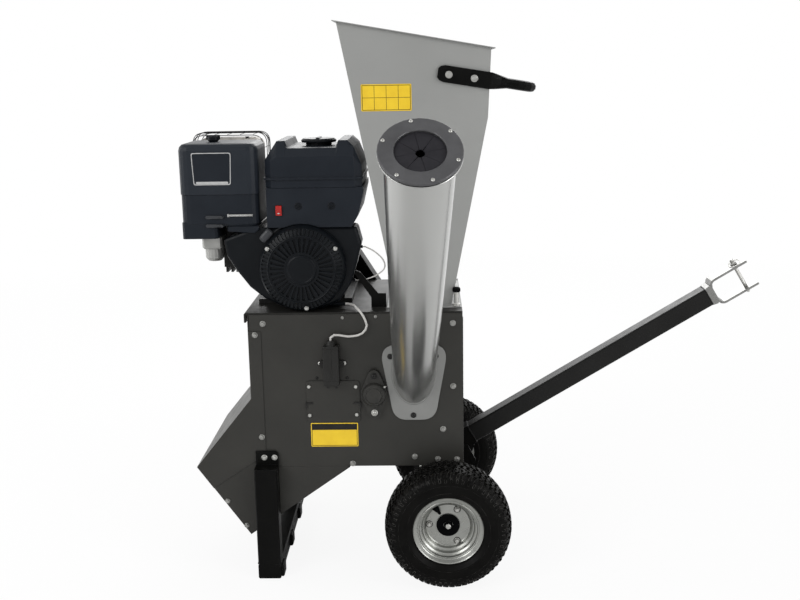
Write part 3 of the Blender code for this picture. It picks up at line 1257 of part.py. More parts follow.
def tank_sections(left, right, floor, deck):
    """Rings of the tank from its near to its far face; both faces slope in at their edges."""
    top = deck + TANK_SHOULDER
    crease = deck - TANK_CREASE
    outline = [(left, floor)]
    outline += [(left + inward, top - down) for inward, down in TANK_LEFT_SLOPE]
    outline += [(left + TANK_DECK[0] - TANK_STEP_LENGTH, top), (left + TANK_DECK[0], deck),
                (left + TANK_DECK[1], deck), (left + TANK_DECK[1] + TANK_STEP_LENGTH, top)]
    outline += [(right - inward, top - down) for inward, down in TANK_RIGHT_SLOPE]
    outline.append((right, floor))
    ends = [(0.0, TANK_CORNER, 0.0), (TANK_CORNER, 0.0, TANK_CORNER / TANK_FALL),
            (TANK_FALL, 0.0, 1.0)]
    stations = [(TANK_NEAR + depth, inset, share) for depth, inset, share in ends]
    stations += [(TANK_FAR - depth, inset, share) for depth, inset, share in reversed(ends)]
    sections = []
    for y, inset, share in stations:
        limit = crease + (top - crease) * share
        sections.append([(min(max(x, left + inset), right - inset), y, min(z, limit))
                         for x, z in outline])
    return sections


def rounded_plate(low, high, corner, z0, z1):
    """Flat plate in the XY plane with rounded corners."""
    outline = rounded([low, (high[0], low[1]), high, (low[0], high[1])], corner, 4)
    bm = bmesh.new()
    face = bm.faces.new([bm.verts.new((x, y, z0)) for x, y in outline])
    made = bmesh.ops.extrude_face_region(bm, geom=[face])
    moved = [v for v in made["geom"] if isinstance(v, bmesh.types.BMVert)]
    bmesh.ops.translate(bm, verts=moved, vec=(0, 0, z1 - z0))
    bmesh.ops.recalc_face_normals(bm, faces=bm.faces)
    return bm


def build_air_cleaner():
    """Air cleaner box in two halves with its knob, the carburettor and two levers."""
    left = CRANK_X - CLEANER_LEFT
    right = left + CLEANER_LENGTH
    low = BED_TOP + CLEANER_BOTTOM
    split = BED_TOP + CLEANER_SPLIT
    top = BED_TOP + CLEANER_TOP
    lip = COVER_LIP
    corner = CLEANER_CORNER
    tray = BED_TOP + CLEANER_TRAY
    lower = place("air_cleaner_base",
                  rounded_plate((left + lip, CLEANER_NEAR + lip), (right - lip, CLEANER_FAR - lip),
                                corner, tray, split - GAP), BLACK_PLASTIC)
    bevel_level(lower, tray, 0.006, 1)
    neck = block((left + 2 * lip, CLEANER_NEAR + 2 * lip, low),
                 (left + CLEANER_NECK_LENGTH, -CYLINDER_HALF_WIDTH - 2 * lip, tray + 0.010),
                 0.006, 1, 2)
    weld(lower, neck, "neck")
    cover = place("air_cleaner_cover",
                  rounded_plate((left, CLEANER_NEAR), (right, CLEANER_FAR), corner, split, top),
                  BLACK_PLASTIC)
    bevel_level(cover, top, 0.017, 3)
    knob_x, knob_y = (left + right) / 2 - 0.0225, (CLEANER_NEAR + CLEANER_FAR) / 2
    seat = top + GAP
    radius = KNOB_DIAMETER / 2
    profile = [(0, seat), (radius * 0.75, seat), (radius, seat + 0.004),
               (radius, seat + KNOB_HEIGHT - 0.003), (radius - 0.003, seat + KNOB_HEIGHT),
               (0, seat + KNOB_HEIGHT)]
    knob = place("air_cleaner_knob", turned(profile, 18, upright(knob_x, knob_y, 0)),
                 BLACK_PLASTIC, (knob_x, knob_y, seat))
    rib = block((knob_x - radius - 0.003, knob_y - 0.003, seat + 0.005),
                (knob_x + radius + 0.003, knob_y + 0.003, seat + KNOB_HEIGHT + 0.002), 0.001, 1)
    weld(knob, rib, "wing")

    throat_x = left + 0.068
    body_top = low - GAP
    body_low = body_top - 0.034
    near = -CYLINDER_HALF_WIDTH - GAP
    carb = place("carburettor", block((throat_x - 0.026, near - 0.070, body_low),
                                      (throat_x + 0.026, near, body_top), 0.005, 1), CAST_METAL)
    bowl = [(0, body_low - 0.034), (0.017, body_low - 0.034), (0.024, body_low - 0.026),
            (0.025, body_low + 0.003), (0, body_low + 0.003)]
    weld(carb, turned(bowl, 18, upright(throat_x, near - 0.036, 0)), "bowl")

    face = CLEANER_NEAR + lip - GAP
    for name, height in (("choke_lever", 0.056), ("fuel_lever", 0.034)):
        px, pz = left + 0.070, low + height
        half = LEVER_WIDTH / 2
        outline = (arc(px, pz, half, 90, 270, 6)
                   + arc(px + LEVER_LENGTH - half * 0.7, pz, half * 0.7, -90, 90, 5))
        lever = place(name, outline_prism(outline, face - LEVER_THICKNESS, face), BLACK_PLASTIC,
                      (px, face, pz))
        grip = rod(half * 0.8, -face, -face + 0.010, along_y(px + LEVER_LENGTH - half, 0, pz)
                   @ Matrix.Rotation(pi, 4, "X"), 10)
        weld(lever, grip, "grip")


def bevel_level(piece, height, width, steps):
    """Bevel the edges of a piece that lie at one height."""
    mesh = piece.data
    layer = mesh.attributes.new("bevel_weight_edge", "FLOAT", "EDGE")
    for edge in mesh.edges:
        ends = [mesh.vertices[index].co.z for index in edge.vertices]
        if max(abs(end - height) for end in ends) < 1e-5:
            layer.data[edge.index].value = 1.0
    modifier = piece.modifiers.new("edge", "BEVEL")
    modifier.width = width
    modifier.segments = steps
    modifier.limit_method = "WEIGHT"


def build_muffler():
    """Muffler with its exhaust pipe, and the slotted guard round it."""
    left = CRANK_X - MUFFLER_LEFT
    right = left + MUFFLER_LENGTH
    low = BED_TOP + MUFFLER_BOTTOM
    top = BED_TOP + MUFFLER_TOP
    muffler = place("muffler", block((left, MUFFLER_NEAR, low), (right, MUFFLER_FAR, top), 0.020, 2),
                    STEEL)
    radius = EXHAUST_DIAMETER / 2
    pipe_x = right - 0.050
    pipe_y = CYLINDER_HALF_WIDTH + 0.034
    pipe_z = BED_TOP + CYLINDER_HIGH - 0.060
    path = [(pipe_y - 0.034 + GAP, pipe_z), (pipe_y - 0.014, pipe_z), (pipe_y - 0.004, pipe_z + 0.004),
            (pipe_y, pipe_z + 0.014), (pipe_y, low + 0.020)]
    sections = []
    for index, (y, z) in enumerate(path):
        before = Vector(path[max(index - 1, 0)])
        after = Vector(path[min(index + 1, len(path) - 1)])
        heading = (after - before).normalized()
        normal = Vector((0, -heading.y, heading.x))
        ring = []
        for step in range(14):
            turn = 2 * pi * step / 14
            ring.append(Vector((pipe_x + radius * cos(turn), y, z)) + normal * radius * sin(turn))
        sections.append(ring)
    weld(muffler, swept(sections), "exhaust")
    middle = (low + top) / 2
    near_face = MUFFLER_NEAR - MUFFLER_GUARD_GAP + GAP
    for index, x in enumerate((left + 0.040, right - 0.040)):
        stud = rod(0.006, near_face, MUFFLER_NEAR + 0.010, along_y(x, 0, middle), 10)
        weld(muffler, stud, "stud_" + str(index))

    gap = MUFFLER_GUARD_GAP + MUFFLER_GUARD_SHEET
    x_lines = [left - gap + step * (MUFFLER_LENGTH + 2 * gap) / 7 for step in range(8)]
    z_lines = [low - 0.002 + step * (top + gap - low + 0.002) / 4 for step in range(5)]
    near, far = MUFFLER_NEAR - gap, MUFFLER_FAR + gap
    y_lines = [near + step * (far - near) / 3 for step in range(4)]
    bm = bmesh.new()
    lookup = {}

    def corner(x, y, z):
        key = (round(x, 6), round(y, 6), round(z, 6))
        if key not in lookup:
            lookup[key] = bm.verts.new((x, y, z))
        return lookup[key]

    def panel(first, second, make):
        rows, columns = len(second) - 1, len(first) - 1
        for row in range(rows):
            for column in range(columns):
                if column % 2 == 1 and 0 < row < rows - 1 and 0 < column < columns - 1:
                    continue
                bm.faces.new([make(first[column + i], second[row + j])
                              for i, j in ((0, 0), (1, 0), (1, 1), (0, 1))])

    panel(x_lines, z_lines, lambda a, b: corner(a, near, b))
    panel(x_lines, z_lines, lambda a, b: corner(a, far, b))
    panel(x_lines, y_lines, lambda a, b: corner(a, b, z_lines[-1]))
    panel(y_lines, z_lines, lambda a, b: corner(x_lines[0], a, b))
    panel(y_lines, z_lines, lambda a, b: corner(x_lines[-1], a, b))
    bmesh.ops.recalc_face_normals(bm, faces=bm.faces)
    bm.normal_update()
    bm.faces.ensure_lookup_table()
    first = bm.faces[0]
    if first.normal.y > 0:
        bmesh.ops.reverse_faces(bm, faces=bm.faces)
    guard = place("muffler_guard", bm, BLACK_PAINT)
    modifier = guard.modifiers.new("sheet", "SOLIDIFY")
    modifier.thickness = MUFFLER_GUARD_SHEET
    modifier.offset = -1
    modifier.use_even_offset = True


def build_stand():
    """Two legs bolted to the housing walls and the rail that joins their feet."""
    half = LEG_WIDTH / 2
    rail_half = HALF_WIDTH + GAP + LEG_DEPTH
    rail = place("foot_rail",
                 block((STAND_X - half, -rail_half, 0), (STAND_X + half, rail_half, RAIL_HEIGHT),
                       0.003, 1, 1), BLACK_PAINT)
    wide, long, high = RAIL_LUG_SIZE
    for index in range(RAIL_LUGS):
        middle = -rail_half + RAIL_LUG_FIRST + index * RAIL_LUG_PITCH
        lug = block((STAND_X + half - 0.004, middle - long / 2, 0.002),
                    (STAND_X + half + wide, middle + long / 2, 0.002 + high), 0.003, 1)
        weld(rail, lug, "lug_" + str(index))
    for side, sign in SIDES.items():
        inner = sign * (HALF_WIDTH + HOOD_SHEET + 2 * GAP)
        outer = sign * rail_half
        low, high = sorted((inner, outer))
        leg = place(side + "_leg",
                    block((STAND_X - half, low, RAIL_HEIGHT + GAP), (STAND_X + half, high, LEG_TOP),
                          0.003, 1, 2), BLACK_PAINT)
        tab_low, tab_high = sorted((inner, inner + sign * LEG_TAB_THICKNESS))
        corner = 0.012
        tab_top = LEG_TOP + LEG_TAB_HEIGHT
        outline = [(STAND_X - half, LEG_TOP - 0.02), (STAND_X + half, LEG_TOP - 0.02)]
        outline += arc(STAND_X + half - corner, tab_top - corner, corner, 0, 90, 4)
        outline.append((STAND_X - half, tab_top))
        weld(leg, outline_prism(outline, tab_low, tab_high), "tab")


def build_wheels():
    """Axle with its bracket, two pressed rims and two lugged tyres."""
    radius = AXLE_DIAMETER / 2
    end = WHEEL_Y + AXLE_OVERHANG
    inner = WHEEL_Y - HUB_TAIL - 0.002
    collar = AXLE_COLLAR_DIAMETER / 2
    nut = HUB_REACH + 0.002
    profile = [(0, -end)]
    profile += [(collar * 0.6, -end), (collar * 0.7, -end + 0.002), (collar * 0.7, -WHEEL_Y - nut),
                (radius, -WHEEL_Y - nut), (radius, -inner), (collar, -inner),
                (collar, -inner + AXLE_COLLAR_WIDTH), (radius, -inner + AXLE_COLLAR_WIDTH)]
    profile += [(r, -y) for r, y in reversed(profile)]
    place("axle", turned(profile, 16, along_y(0, 0, WHEEL_Z)), ZINC)

    for side, sign in SIDES.items():
        turn = Matrix.Identity(4) if sign > 0 else Matrix.Rotation(pi, 4, "X")
        frame = along_y(0, sign * WHEEL_Y, WHEEL_Z) @ turn
        pivot = (0, sign * WHEEL_Y, WHEEL_Z)
        place(side + "_rim", turned(rim_profile(), WHEEL_SEGMENTS, frame), ZINC, pivot)
        place(side + "_tyre", tyre_mesh(frame), TYRE_RUBBER, pivot)

    build_bracket()


def build_bracket():
    """Folded bracket under the housing that carries the axle and the tow bar's foot."""
    floor = HOUSING_BOTTOM - GAP
    right = HOUSING_RIGHT
    half = BRACKET_WIDTH / 2
    foot = WHEEL_Z - BRACKET_BELOW
    outline = [(-BRACKET_LEFT, floor), (-BRACKET_FOOT / 2, foot), (BRACKET_FOOT / 2, foot)]
    outline += [(right + out, floor - down) for out, down in BRACKET_NOSE]
    corners = [(x, -half, z) for x, z in outline] + [(x, half, z) for x, z in outline]
    corners += [(right, -half, floor), (right, half, floor)]
    count = len(outline)
    faces = [(*range(count), 2 * count), (*range(count, 2 * count), 2 * count + 1),
             (0, count, 2 * count + 1, 2 * count)]
    bracket = folded_sheet("axle_bracket", corners, faces, BRACKET_SHEET, (0, 0, WHEEL_Z),
                           BLACK_PAINT)
    cut(bracket, rod(AXLE_DIAMETER / 2 + RUNNING_GAP, -BRACKET_WIDTH, BRACKET_WIDTH,
                     along_y(0, 0, WHEEL_Z), 20), "axle_hole")
    face = right + GAP
    thick, wide = WALL_PLATE
    weld(bracket, block((face, -wide / 2, floor - WALL_PLATE_BELOW),
                        (face + thick, wide / 2, floor + WALL_PLATE_ABOVE)), "wall_plate")
    slope = radians(TOW_ANGLE)
    size = TOW_TUBE / 2
    foot_x, foot_z = TOW_FOOT
    socket = []
    for offset in (size + 0.002, -size - 0.002):
        socket.append((foot_x - GAP * cos(slope) - offset * sin(slope),
                       foot_z - GAP * sin(slope) + offset * cos(slope)))
    high, low = socket
    socket += [(face + 0.003, low[1] - (low[0] - face) * tan(slope)),
               (face + 0.003, high[1] - (high[0] - face) * tan(slope) + 0.004)]
    weld(bracket, outline_prism(socket, -size, size), "socket")


def rim_profile():
    """Closed (radius, height) profile of a pressed wheel; height grows outward."""
    flange = RIM_DIAMETER / 2
    half = RIM_WIDTH / 2
    sheet = RIM_SHEET
    well = RIM_WELL_RADIUS
    seat = flange - 0.015
    disc = half - RIM_DISC_SETBACK
    hub = HUB_DIAMETER / 2
    bore = AXLE_DIAMETER / 2 + RUNNING_GAP
    return [(bore, HUB_REACH), (hub, HUB_REACH), (hub, disc), (well - sheet, disc),
            (seat - sheet, disc + 0.014), (seat - sheet, half - 0.008),
            (flange, half), (flange, half - sheet), (seat, half - 0.009),
            (seat, disc + 0.012), (well, disc - 0.002), (well, -disc - 0.012),
            (seat, -disc - 0.024), (seat, -half + 0.009), (flange, -half + sheet),
            (flange, -half), (seat - sheet, -half + 0.008), (seat - sheet, -disc - 0.026),
            (well - sheet, -disc - 0.014), (well - sheet, disc - sheet), (hub, disc - sheet),
            (hub, -HUB_TAIL), (bore, -HUB_TAIL)]


def tyre_mesh(frame):
    """Turned tyre whose tread faces carry staggered lugs."""
    outer = WHEEL_DIAMETER / 2
    base = outer - TREAD_HEIGHT
    half = TYRE_WIDTH / 2
    flange = RIM_DIAMETER / 2
    seat = flange - 0.015 + GAP
    rim_half = RIM_WIDTH / 2
    side = [(seat, rim_half - 0.0104), (flange + GAP, rim_half - RIM_SHEET - 2 * GAP),
            (flange + GAP, rim_half + 0.0008), (0.112, half - 0.001), (0.128, half),
            (base - 0.016, half - 0.006), (base - 0.003, half * 0.66), (base, half * 0.25)]
    profile = side + [(radius, -height) for radius, height in reversed(side)]
    bm = turned(profile, WHEEL_SEGMENTS, frame)
    bm.faces.ensure_lookup_table()
    inverse = frame.inverted()
    lugs = []
    for face in bm.faces:
        local = inverse @ face.calc_center_median()
        radial = hypot(local.x, local.y)
        if radial < base - 0.014:
            continue
        step = int(round((atan2(local.y, local.x) % (2 * pi)) / (2 * pi) * WHEEL_SEGMENTS - 0.5))
        centre_band = abs(local.z) < half * 0.2
        if (step + (1 if centre_band else 0)) % 2 == 0:
            lugs.append(face)
    made = bmesh.ops.extrude_discrete_faces(bm, faces=lugs)
    for face in made["faces"]:
        centre = face.calc_center_median()
        axis_point = frame @ Vector((0, 0, (inverse @ centre).z))
        outward = (centre - axis_point).normalized()
        for vert in face.verts:
            inward = (centre - vert.co) * 0.10
            vert.co += outward * TREAD_HEIGHT + inward
    bmesh.ops.recalc_face_normals(bm, faces=bm.faces)
    return bm


def build_tow():
    """Square tow bar, its clevis, the hitch pin and the pin's pull ring."""
    slope = radians(TOW_ANGLE)
    start = Vector((TOW_FOOT[0], 0, TOW_FOOT[1]))
    tilt = Matrix.Translation(start) @ Matrix.Rotation(-slope, 4, "Y")
    half = TOW_TUBE / 2
    bar_mesh = block((0, -half, -half), (TOW_LENGTH, half, half), 0.004, 2, 0)
    bmesh.ops.transform(bar_mesh, matrix=tilt, verts=bar_mesh.verts)
    bar = place("tow_bar", bar_mesh, BLACK_PAINT)
    inside = half - TOW_WALL
    hollow = block((-0.01, -inside, -inside), (TOW_LENGTH - 0.03, inside, inside))
    bmesh.ops.transform(hollow, matrix=tilt, verts=hollow.verts)
    cut(bar, hollow, "hollow")

    back = TOW_LENGTH + GAP
    web = back + CLEVIS_NECK
    strap = CLEVIS_STRAP
    arm = CLEVIS_OPENING / 2
    tip = web + CLEVIS_LENGTH
    outer = CLEVIS_CORNER + strap
    inner_corner = CLEVIS_CORNER
    outline = [(back, -half), (web, -half - 0.003)]
    outline += [(web + outer + outer * cos(radians(a)), -arm - strap + outer + outer * sin(radians(a)))
                for a in (200, 225, 247, 270)]
    outline += [(tip, -arm - strap), (tip, -arm)]
    outline += [(web + strap + inner_corner + inner_corner * cos(radians(a)),
                 -arm + inner_corner + inner_corner * sin(radians(a))) for a in (270, 247, 225, 180)]
    upper = [(x, -z) for x, z in reversed(outline)]
    outline = outline + upper
    mesh = outline_prism(outline, -CLEVIS_WIDTH / 2, CLEVIS_WIDTH / 2)
    bmesh.ops.transform(mesh, matrix=tilt, verts=mesh.verts)
    clevis = place("tow_clevis", mesh, STEEL)
    pin_at = tip - PIN_FROM_END
    pin_frame = tilt @ upright(pin_at, 0, 0)
    radius = PIN_DIAMETER / 2
    cut(clevis, rod(radius + GAP, -arm - 0.05, arm + 0.05, pin_frame, 16), "pin_hole")
    seat = arm + strap + GAP
    profile = [(0, -arm - strap - PIN_TAIL), (radius - 0.002, -arm - strap - PIN_TAIL),
               (radius, -arm - strap - PIN_TAIL + 0.003), (radius, seat), (PIN_HEAD / 2, seat),
               (PIN_HEAD / 2, seat + 0.004), (radius, seat + 0.006), (radius, seat + 0.016),
               (0, seat + 0.016)]
    pivot = pin_frame @ Vector((0, 0, seat))
    pin = place("hitch_pin", turned(profile, 16, pin_frame), ZINC, pivot)
    eye = Matrix.Translation((0, 0, seat + 0.010))
    wire = RING_WIRE / 2
    hole = pin_frame @ eye @ Matrix.Rotation(radians(90), 4, "Y")
    cut(pin, rod(wire + RING_PLAY, -0.02, 0.02, hole, 10), "eye")
    ring = []
    for step in range(6):
        turn = 2 * pi * step / 6
        ring.append((RING_RADIUS + wire * cos(turn), wire * sin(turn)))
    lean = radians(RING_LEAN)
    lie = Vector((0, -cos(lean), -sin(lean)))
    across = Vector((1, 0, 0)).cross(lie)
    turn = Matrix((Vector((1, 0, 0)), lie, across)).transposed().to_4x4()
    ring_frame = pin_frame @ eye @ Matrix.Translation(lie * RING_RADIUS) @ turn
    pivot = pin_frame @ eye @ Vector((0, 0, 0))
    place("hitch_ring", turned(ring, 20, ring_frame), ZINC, pivot)


def build_cables():
    """Pale lead from the engine to the interlock box, and the engine's stop wire."""
    face = -HALF_WIDTH
    box_x = BOX_LEFT + BOX_LENGTH / 2
    box_z = HOUSING_BOTTOM + BOX_ABOVE + BOX_HEIGHT + BOOT_HEIGHT + GAP
    box_y = face - GAP - (BOX_DEPTH + COVER_SHEET + GAP) / 2
    outlet = CRANK_X + 0.104 + GAP
    height = BED_TOP + 0.0105
    lead = [(outlet, LEAD_Y, height), (outlet + 0.008, LEAD_Y, height), (-0.238, -0.176, 0.7245),
            (-0.231, -0.201, 0.7240), (-0.222, -0.2180, 0.7205),
            (-0.210, -0.2245, 0.704), (-0.203, -0.225, 0.680), (-0.218, -0.225, 0.660),
            (-0.250, -0.225, 0.654),
            (-0.274, -0.228, 0.6585), (box_x + 0.005, box_y, box_z + 0.0135),
            (box_x, box_y, box_z + 0.007), (box_x, box_y, box_z)]
    cable("switch_lead", lead, LEAD_DIAMETER, CABLE_SHEATH)
    upper = CRANK_X + 0.152 + GAP
    lower = CRANK_X + 0.130 + GAP
    high, low = CRANK_Z + 0.045, CRANK_Z - 0.043
    wire = [(upper, WIRE_Y, high), (upper + 0.006, WIRE_Y, high), (-0.184, WIRE_Y, 0.860),
            (-0.162, WIRE_Y, 0.838),
            (-0.158, WIRE_Y, 0.816), (-0.178, WIRE_Y, 0.798), (-0.206, WIRE_Y, low + 0.002),
            (lower + 0.008, WIRE_Y, low), (lower, WIRE_Y, low)]
    cable("stop_wire", wire, WIRE_DIAMETER, CABLE_SHEATH)


def main():
    """Build every sub-assembly in order."""
    build_stand()
    build_wheels()
    build_housing()
    build_discharge()
    build_wall_fittings()
    build_rotor()
    build_feed()
    build_hopper()
    build_drive()
    build_engine()
    build_tow()
    build_cables()


main()
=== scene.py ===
"""A towable petrol wood chipper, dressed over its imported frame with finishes, fasteners and fittings."""
import logging
from dataclasses import dataclass
from enum import Enum
from math import acos, atan2, ceil, cos, hypot, pi, radians, sin, tan
from typing import Optional, Sequence

import bmesh
import bpy
from mathutils import Matrix, Vector


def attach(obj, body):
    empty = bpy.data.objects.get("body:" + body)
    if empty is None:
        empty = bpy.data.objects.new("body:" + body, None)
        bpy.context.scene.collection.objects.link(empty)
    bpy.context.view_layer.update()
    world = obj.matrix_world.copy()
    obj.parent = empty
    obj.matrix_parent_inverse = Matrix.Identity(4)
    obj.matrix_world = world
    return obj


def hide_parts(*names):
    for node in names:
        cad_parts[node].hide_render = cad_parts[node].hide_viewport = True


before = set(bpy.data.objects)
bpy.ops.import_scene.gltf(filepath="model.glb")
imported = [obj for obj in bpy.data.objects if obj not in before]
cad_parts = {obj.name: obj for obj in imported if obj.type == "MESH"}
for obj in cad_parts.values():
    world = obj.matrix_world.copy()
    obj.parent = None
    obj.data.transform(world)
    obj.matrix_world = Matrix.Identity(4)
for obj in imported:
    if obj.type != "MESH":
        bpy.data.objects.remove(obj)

LOG = logging.getLogger("chipper")
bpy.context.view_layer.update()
AXLE_X = 0.475

Point = Sequence[float]
Colour = tuple[float, float, float]
Profile = Sequence[tuple[float, float]]

TOWARDS = Vector((0, -1, 0))
AWAY = Vector((0, 1, 0))
UP = Vector((0, 0, 1))
LEFT = Vector((-1, 0, 0))


class Side(Enum):
    """The two sides of the machine, with the sign of their Y."""

    NEAR = -1
    FAR = 1

    @property
    def outward(self) -> Vector:
        """Direction that points away from the machine on this side."""
        return Vector((0, self.value, 0))

    @property
    def label(self) -> str:
        """Lower-case word that starts the names of this side's pieces."""
        return self.name.lower()


class Grain(Enum):
    """Fine surface texture of a finish."""

    HAMMERED = "hammered"
    SATIN = "satin"
    MOULDED = "moulded"
    CAST = "cast"
    BRUSHED = "brushed"
    SPANGLED = "spangled"
    RUBBER = "rubber"


class Web:
    """Adds and joins the shader nodes of one material or world."""

    def __init__(self, owner: bpy.types.ID) -> None:
        """Clear the owner's nodes and keep its tree.

        Args:
            owner: The material or world whose nodes are made.
        """
        owner.use_nodes = True
        self.tree = owner.node_tree
        self.tree.nodes.clear()

    def add(self, kind: str, inputs: Optional[dict] = None, **settings: object) -> bpy.types.Node:
        """Add a node, set it and join its inputs.

        Args:
            kind: Blender's name of the node type, without its prefix.
            inputs: Values or sockets by input name or number.
            **settings: Plain properties of the node.

        Returns:
            The new node.
        """
        node = self.tree.nodes.new("ShaderNode" + kind)
        for key, value in settings.items():
            setattr(node, key, value)
        for key, value in (inputs or {}).items():
            if isinstance(value, bpy.types.NodeSocket):
                self.tree.links.new(value, node.inputs[key])
            else:
                node.inputs[key].default_value = value
        return node

    def noise(self, vector: bpy.types.NodeSocket, size: float, detail: float = 3.0,
              roughness: float = 0.55) -> bpy.types.NodeSocket:
        """Noise with features of about the given size.

        Args:
            vector: Where the noise is read.
            size: Feature size in metres.
            detail: Number of finer layers.
            roughness: Share of the finer layers.

        Returns:
            The noise's factor.
        """
        node = self.add("TexNoise", {"Vector": vector, "Scale": 1 / size, "Detail": detail,
                                     "Roughness": roughness})
        return node.outputs[0]

    def span(self, value: bpy.types.NodeSocket, low: float, high: float, to_low: float = 0.0,
             to_high: float = 1.0) -> bpy.types.NodeSocket:
        """Map a range of a value to another range, with the ends held.

        Args:
            value: The socket that is mapped.
            low: Start of the range that is read.
            high: End of the range that is read.
            to_low: Result at the start.
            to_high: Result at the end.

        Returns:
            The mapped value.
        """
        node = self.add("MapRange", {"Value": value, "From Min": low, "From Max": high,
                                     "To Min": to_low, "To Max": to_high})
        return node.outputs[0]

    def times(self, first: bpy.types.NodeSocket, second: object) -> bpy.types.NodeSocket:
        """Product of two values."""
        return self.add("Math", {0: first, 1: second}, operation="MULTIPLY").outputs[0]

    def plus(self, first: bpy.types.NodeSocket, second: object) -> bpy.types.NodeSocket:
        """Sum of two values."""
        return self.add("Math", {0: first, 1: second}, operation="ADD").outputs[0]

    def blend(self, share: bpy.types.NodeSocket, first: object, second: object) -> bpy.types.NodeSocket:
        """Colour between two others.

        Args:
            share: 0 for the first colour, 1 for the second.
            first: A colour or socket.
            second: A colour or socket.

        Returns:
            The mixed colour.
        """
        node = self.add("Mix", {"Factor": share}, data_type="RGBA")
        for key, value in ((6, first), (7, second)):
            if isinstance(value, bpy.types.NodeSocket):
                self.tree.links.new(value, node.inputs[key])
            else:
                node.inputs[key].default_value = (*value, 1.0)
        return node.outputs[2]


@dataclass(frozen=True)
class Finish:
    """One finish: colour variation, grain, lighter edges (paint wear; on the tyre, painted glints) and gloss.
    """

    name: str
    colour: Colour
    second: Colour
    metallic: float
    roughness: float
    swing: float
    grain: Grain
    grain_size: float
    depth: float
    patch: float = 0.08
    edge: Optional[Colour] = None
    edge_share: float = 0.5
    coat: float = 0.0
    rounding: float = 0.0012
    specular: float = 0.5
    along: tuple[float, float, float] = (1.0, 1.0, 1.0)

    def material(self) -> bpy.types.Material:
        """Make the material the first time, and give the same one after that.

        Returns:
            The material.
        """
        found = bpy.data.materials.get(self.name)
        if found:
            return found
        made = bpy.data.materials.new(self.name)
        web = Web(made)
        place = web.add("TexCoord").outputs["Object"]
        stretched = web.add("Mapping", {"Vector": place, "Scale": self.along}).outputs[0]
        colour = self._colour(web, place, stretched)
        swing = web.noise(stretched, self.patch * 0.35, 4.0)
        rough = web.span(swing, 0.3, 0.7, self.roughness - self.swing, self.roughness + self.swing)
        edge = web.add("Bevel", {"Radius": self.rounding}, samples=4).outputs[0]
        height = self._height(web, stretched)
        bump = web.add("Bump", {"Height": height, "Strength": 1.0, "Distance": self.depth, "Normal": edge})
        shader = web.add("BsdfPrincipled", {"Base Color": colour, "Metallic": self.metallic,
                                            "Roughness": rough, "Normal": bump.outputs[0],
                                            "Specular IOR Level": self.specular,
                                            "Coat Weight": self.coat, "Coat Roughness": 0.12})
        out = web.add("OutputMaterial")
        web.tree.links.new(shader.outputs[0], out.inputs[0])
        made.diffuse_color = (*self.colour, 1.0)
        return made

    def _colour(self, web: Web, place: bpy.types.NodeSocket,
                stretched: bpy.types.NodeSocket) -> bpy.types.NodeSocket:
        """Patchy colour with lighter edges: paint wear, and on the tyre painted glints.

        Args:
            web: The material's nodes.
            place: Position on the piece.
            stretched: The same position, stretched along the grain.

        Returns:
            The colour socket.
        """
        if self.grain is Grain.SPANGLED:
            cells = web.add("TexVoronoi", {"Vector": stretched, "Scale": 1 / self.grain_size})
            tone = web.add("SeparateColor", {0: cells.outputs["Color"]}).outputs[0]
            share = web.plus(web.times(tone, 0.55), web.times(web.noise(place, self.patch), 0.5))
        else:
            share = web.span(web.noise(stretched, self.patch, 5.0), 0.32, 0.68)
        colour = web.blend(share, self.colour, self.second)
        if self.edge:
            rounded = web.add("Bevel", {"Radius": self.rounding * 1.5}, samples=4).outputs[0]
            flat = web.add("NewGeometry").outputs["Normal"]
            match = web.add("VectorMath", {0: rounded, 1: flat}, operation="DOT_PRODUCT").outputs["Value"]
            # Edge mask: paint wear, and on the tyre painted glints along the tread blocks' edges.
            wear_and_glint = web.times(web.span(match, 0.985, 0.80), web.span(web.noise(place, 0.012, 6.0), 0.42, 0.62))
            colour = web.blend(web.times(wear_and_glint, self.edge_share), colour, self.edge)
        return colour

    def _height(self, web: Web, vector: bpy.types.NodeSocket) -> bpy.types.NodeSocket:
        """Height field of the grain.

        Args:
            web: The material's nodes.
            vector: Position on the piece, stretched along the grain.

        Returns:
            The height socket.
        """
        if self.grain is Grain.HAMMERED:
            dimples = web.add("TexVoronoi", {"Vector": vector, "Scale": 1 / self.grain_size},
                              feature="SMOOTH_F1").outputs["Distance"]
            return web.plus(dimples, web.times(web.noise(vector, self.grain_size * 0.6), 0.7))
        if self.grain is Grain.CAST:
            return web.plus(web.noise(vector, self.grain_size, 8.0, 0.7),
                            web.times(web.noise(vector, self.grain_size * 5, 2.0), 1.5))
        if self.grain is Grain.MOULDED:
            return web.noise(vector, self.grain_size, 2.0, 0.4)
        if self.grain is Grain.RUBBER:
            return web.plus(web.noise(vector, self.grain_size, 6.0, 0.65),
                            web.times(web.noise(vector, self.grain_size * 12, 2.0), 2.0))
        return web.noise(vector, self.grain_size, 5.0)


HOUSING_PAINT = Finish("dark_hammered_paint", (0.0270, 0.0265, 0.0238), (0.0345, 0.0335, 0.0300), 0.20, 0.40,
                       0.05, Grain.HAMMERED, 0.0032, 0.00008, 0.16, (0.09, 0.09, 0.085), 0.3, specular=0.28)
HOPPER_PAINT = Finish("light_silver_paint", (0.268, 0.271, 0.263), (0.294, 0.297, 0.289), 0.25, 0.44, 0.04,
                      Grain.SATIN, 0.0016, 0.00003, 0.30, (0.50, 0.50, 0.49), 0.3, specular=0.4)
TUBE_PAINT = Finish("gloss_silver_paint", (0.455, 0.458, 0.445), (0.480, 0.483, 0.470), 0.90, 0.24, 0.015,
                    Grain.SATIN, 0.0060, 0.000001, 0.30, coat=0.3)
FOOT_PAINT = Finish("plate_silver_paint", (0.200, 0.202, 0.195), (0.230, 0.232, 0.225), 0.45, 0.36, 0.04,
                    Grain.SATIN, 0.0026, 0.00002, 0.12, (0.50, 0.50, 0.48), 0.3)
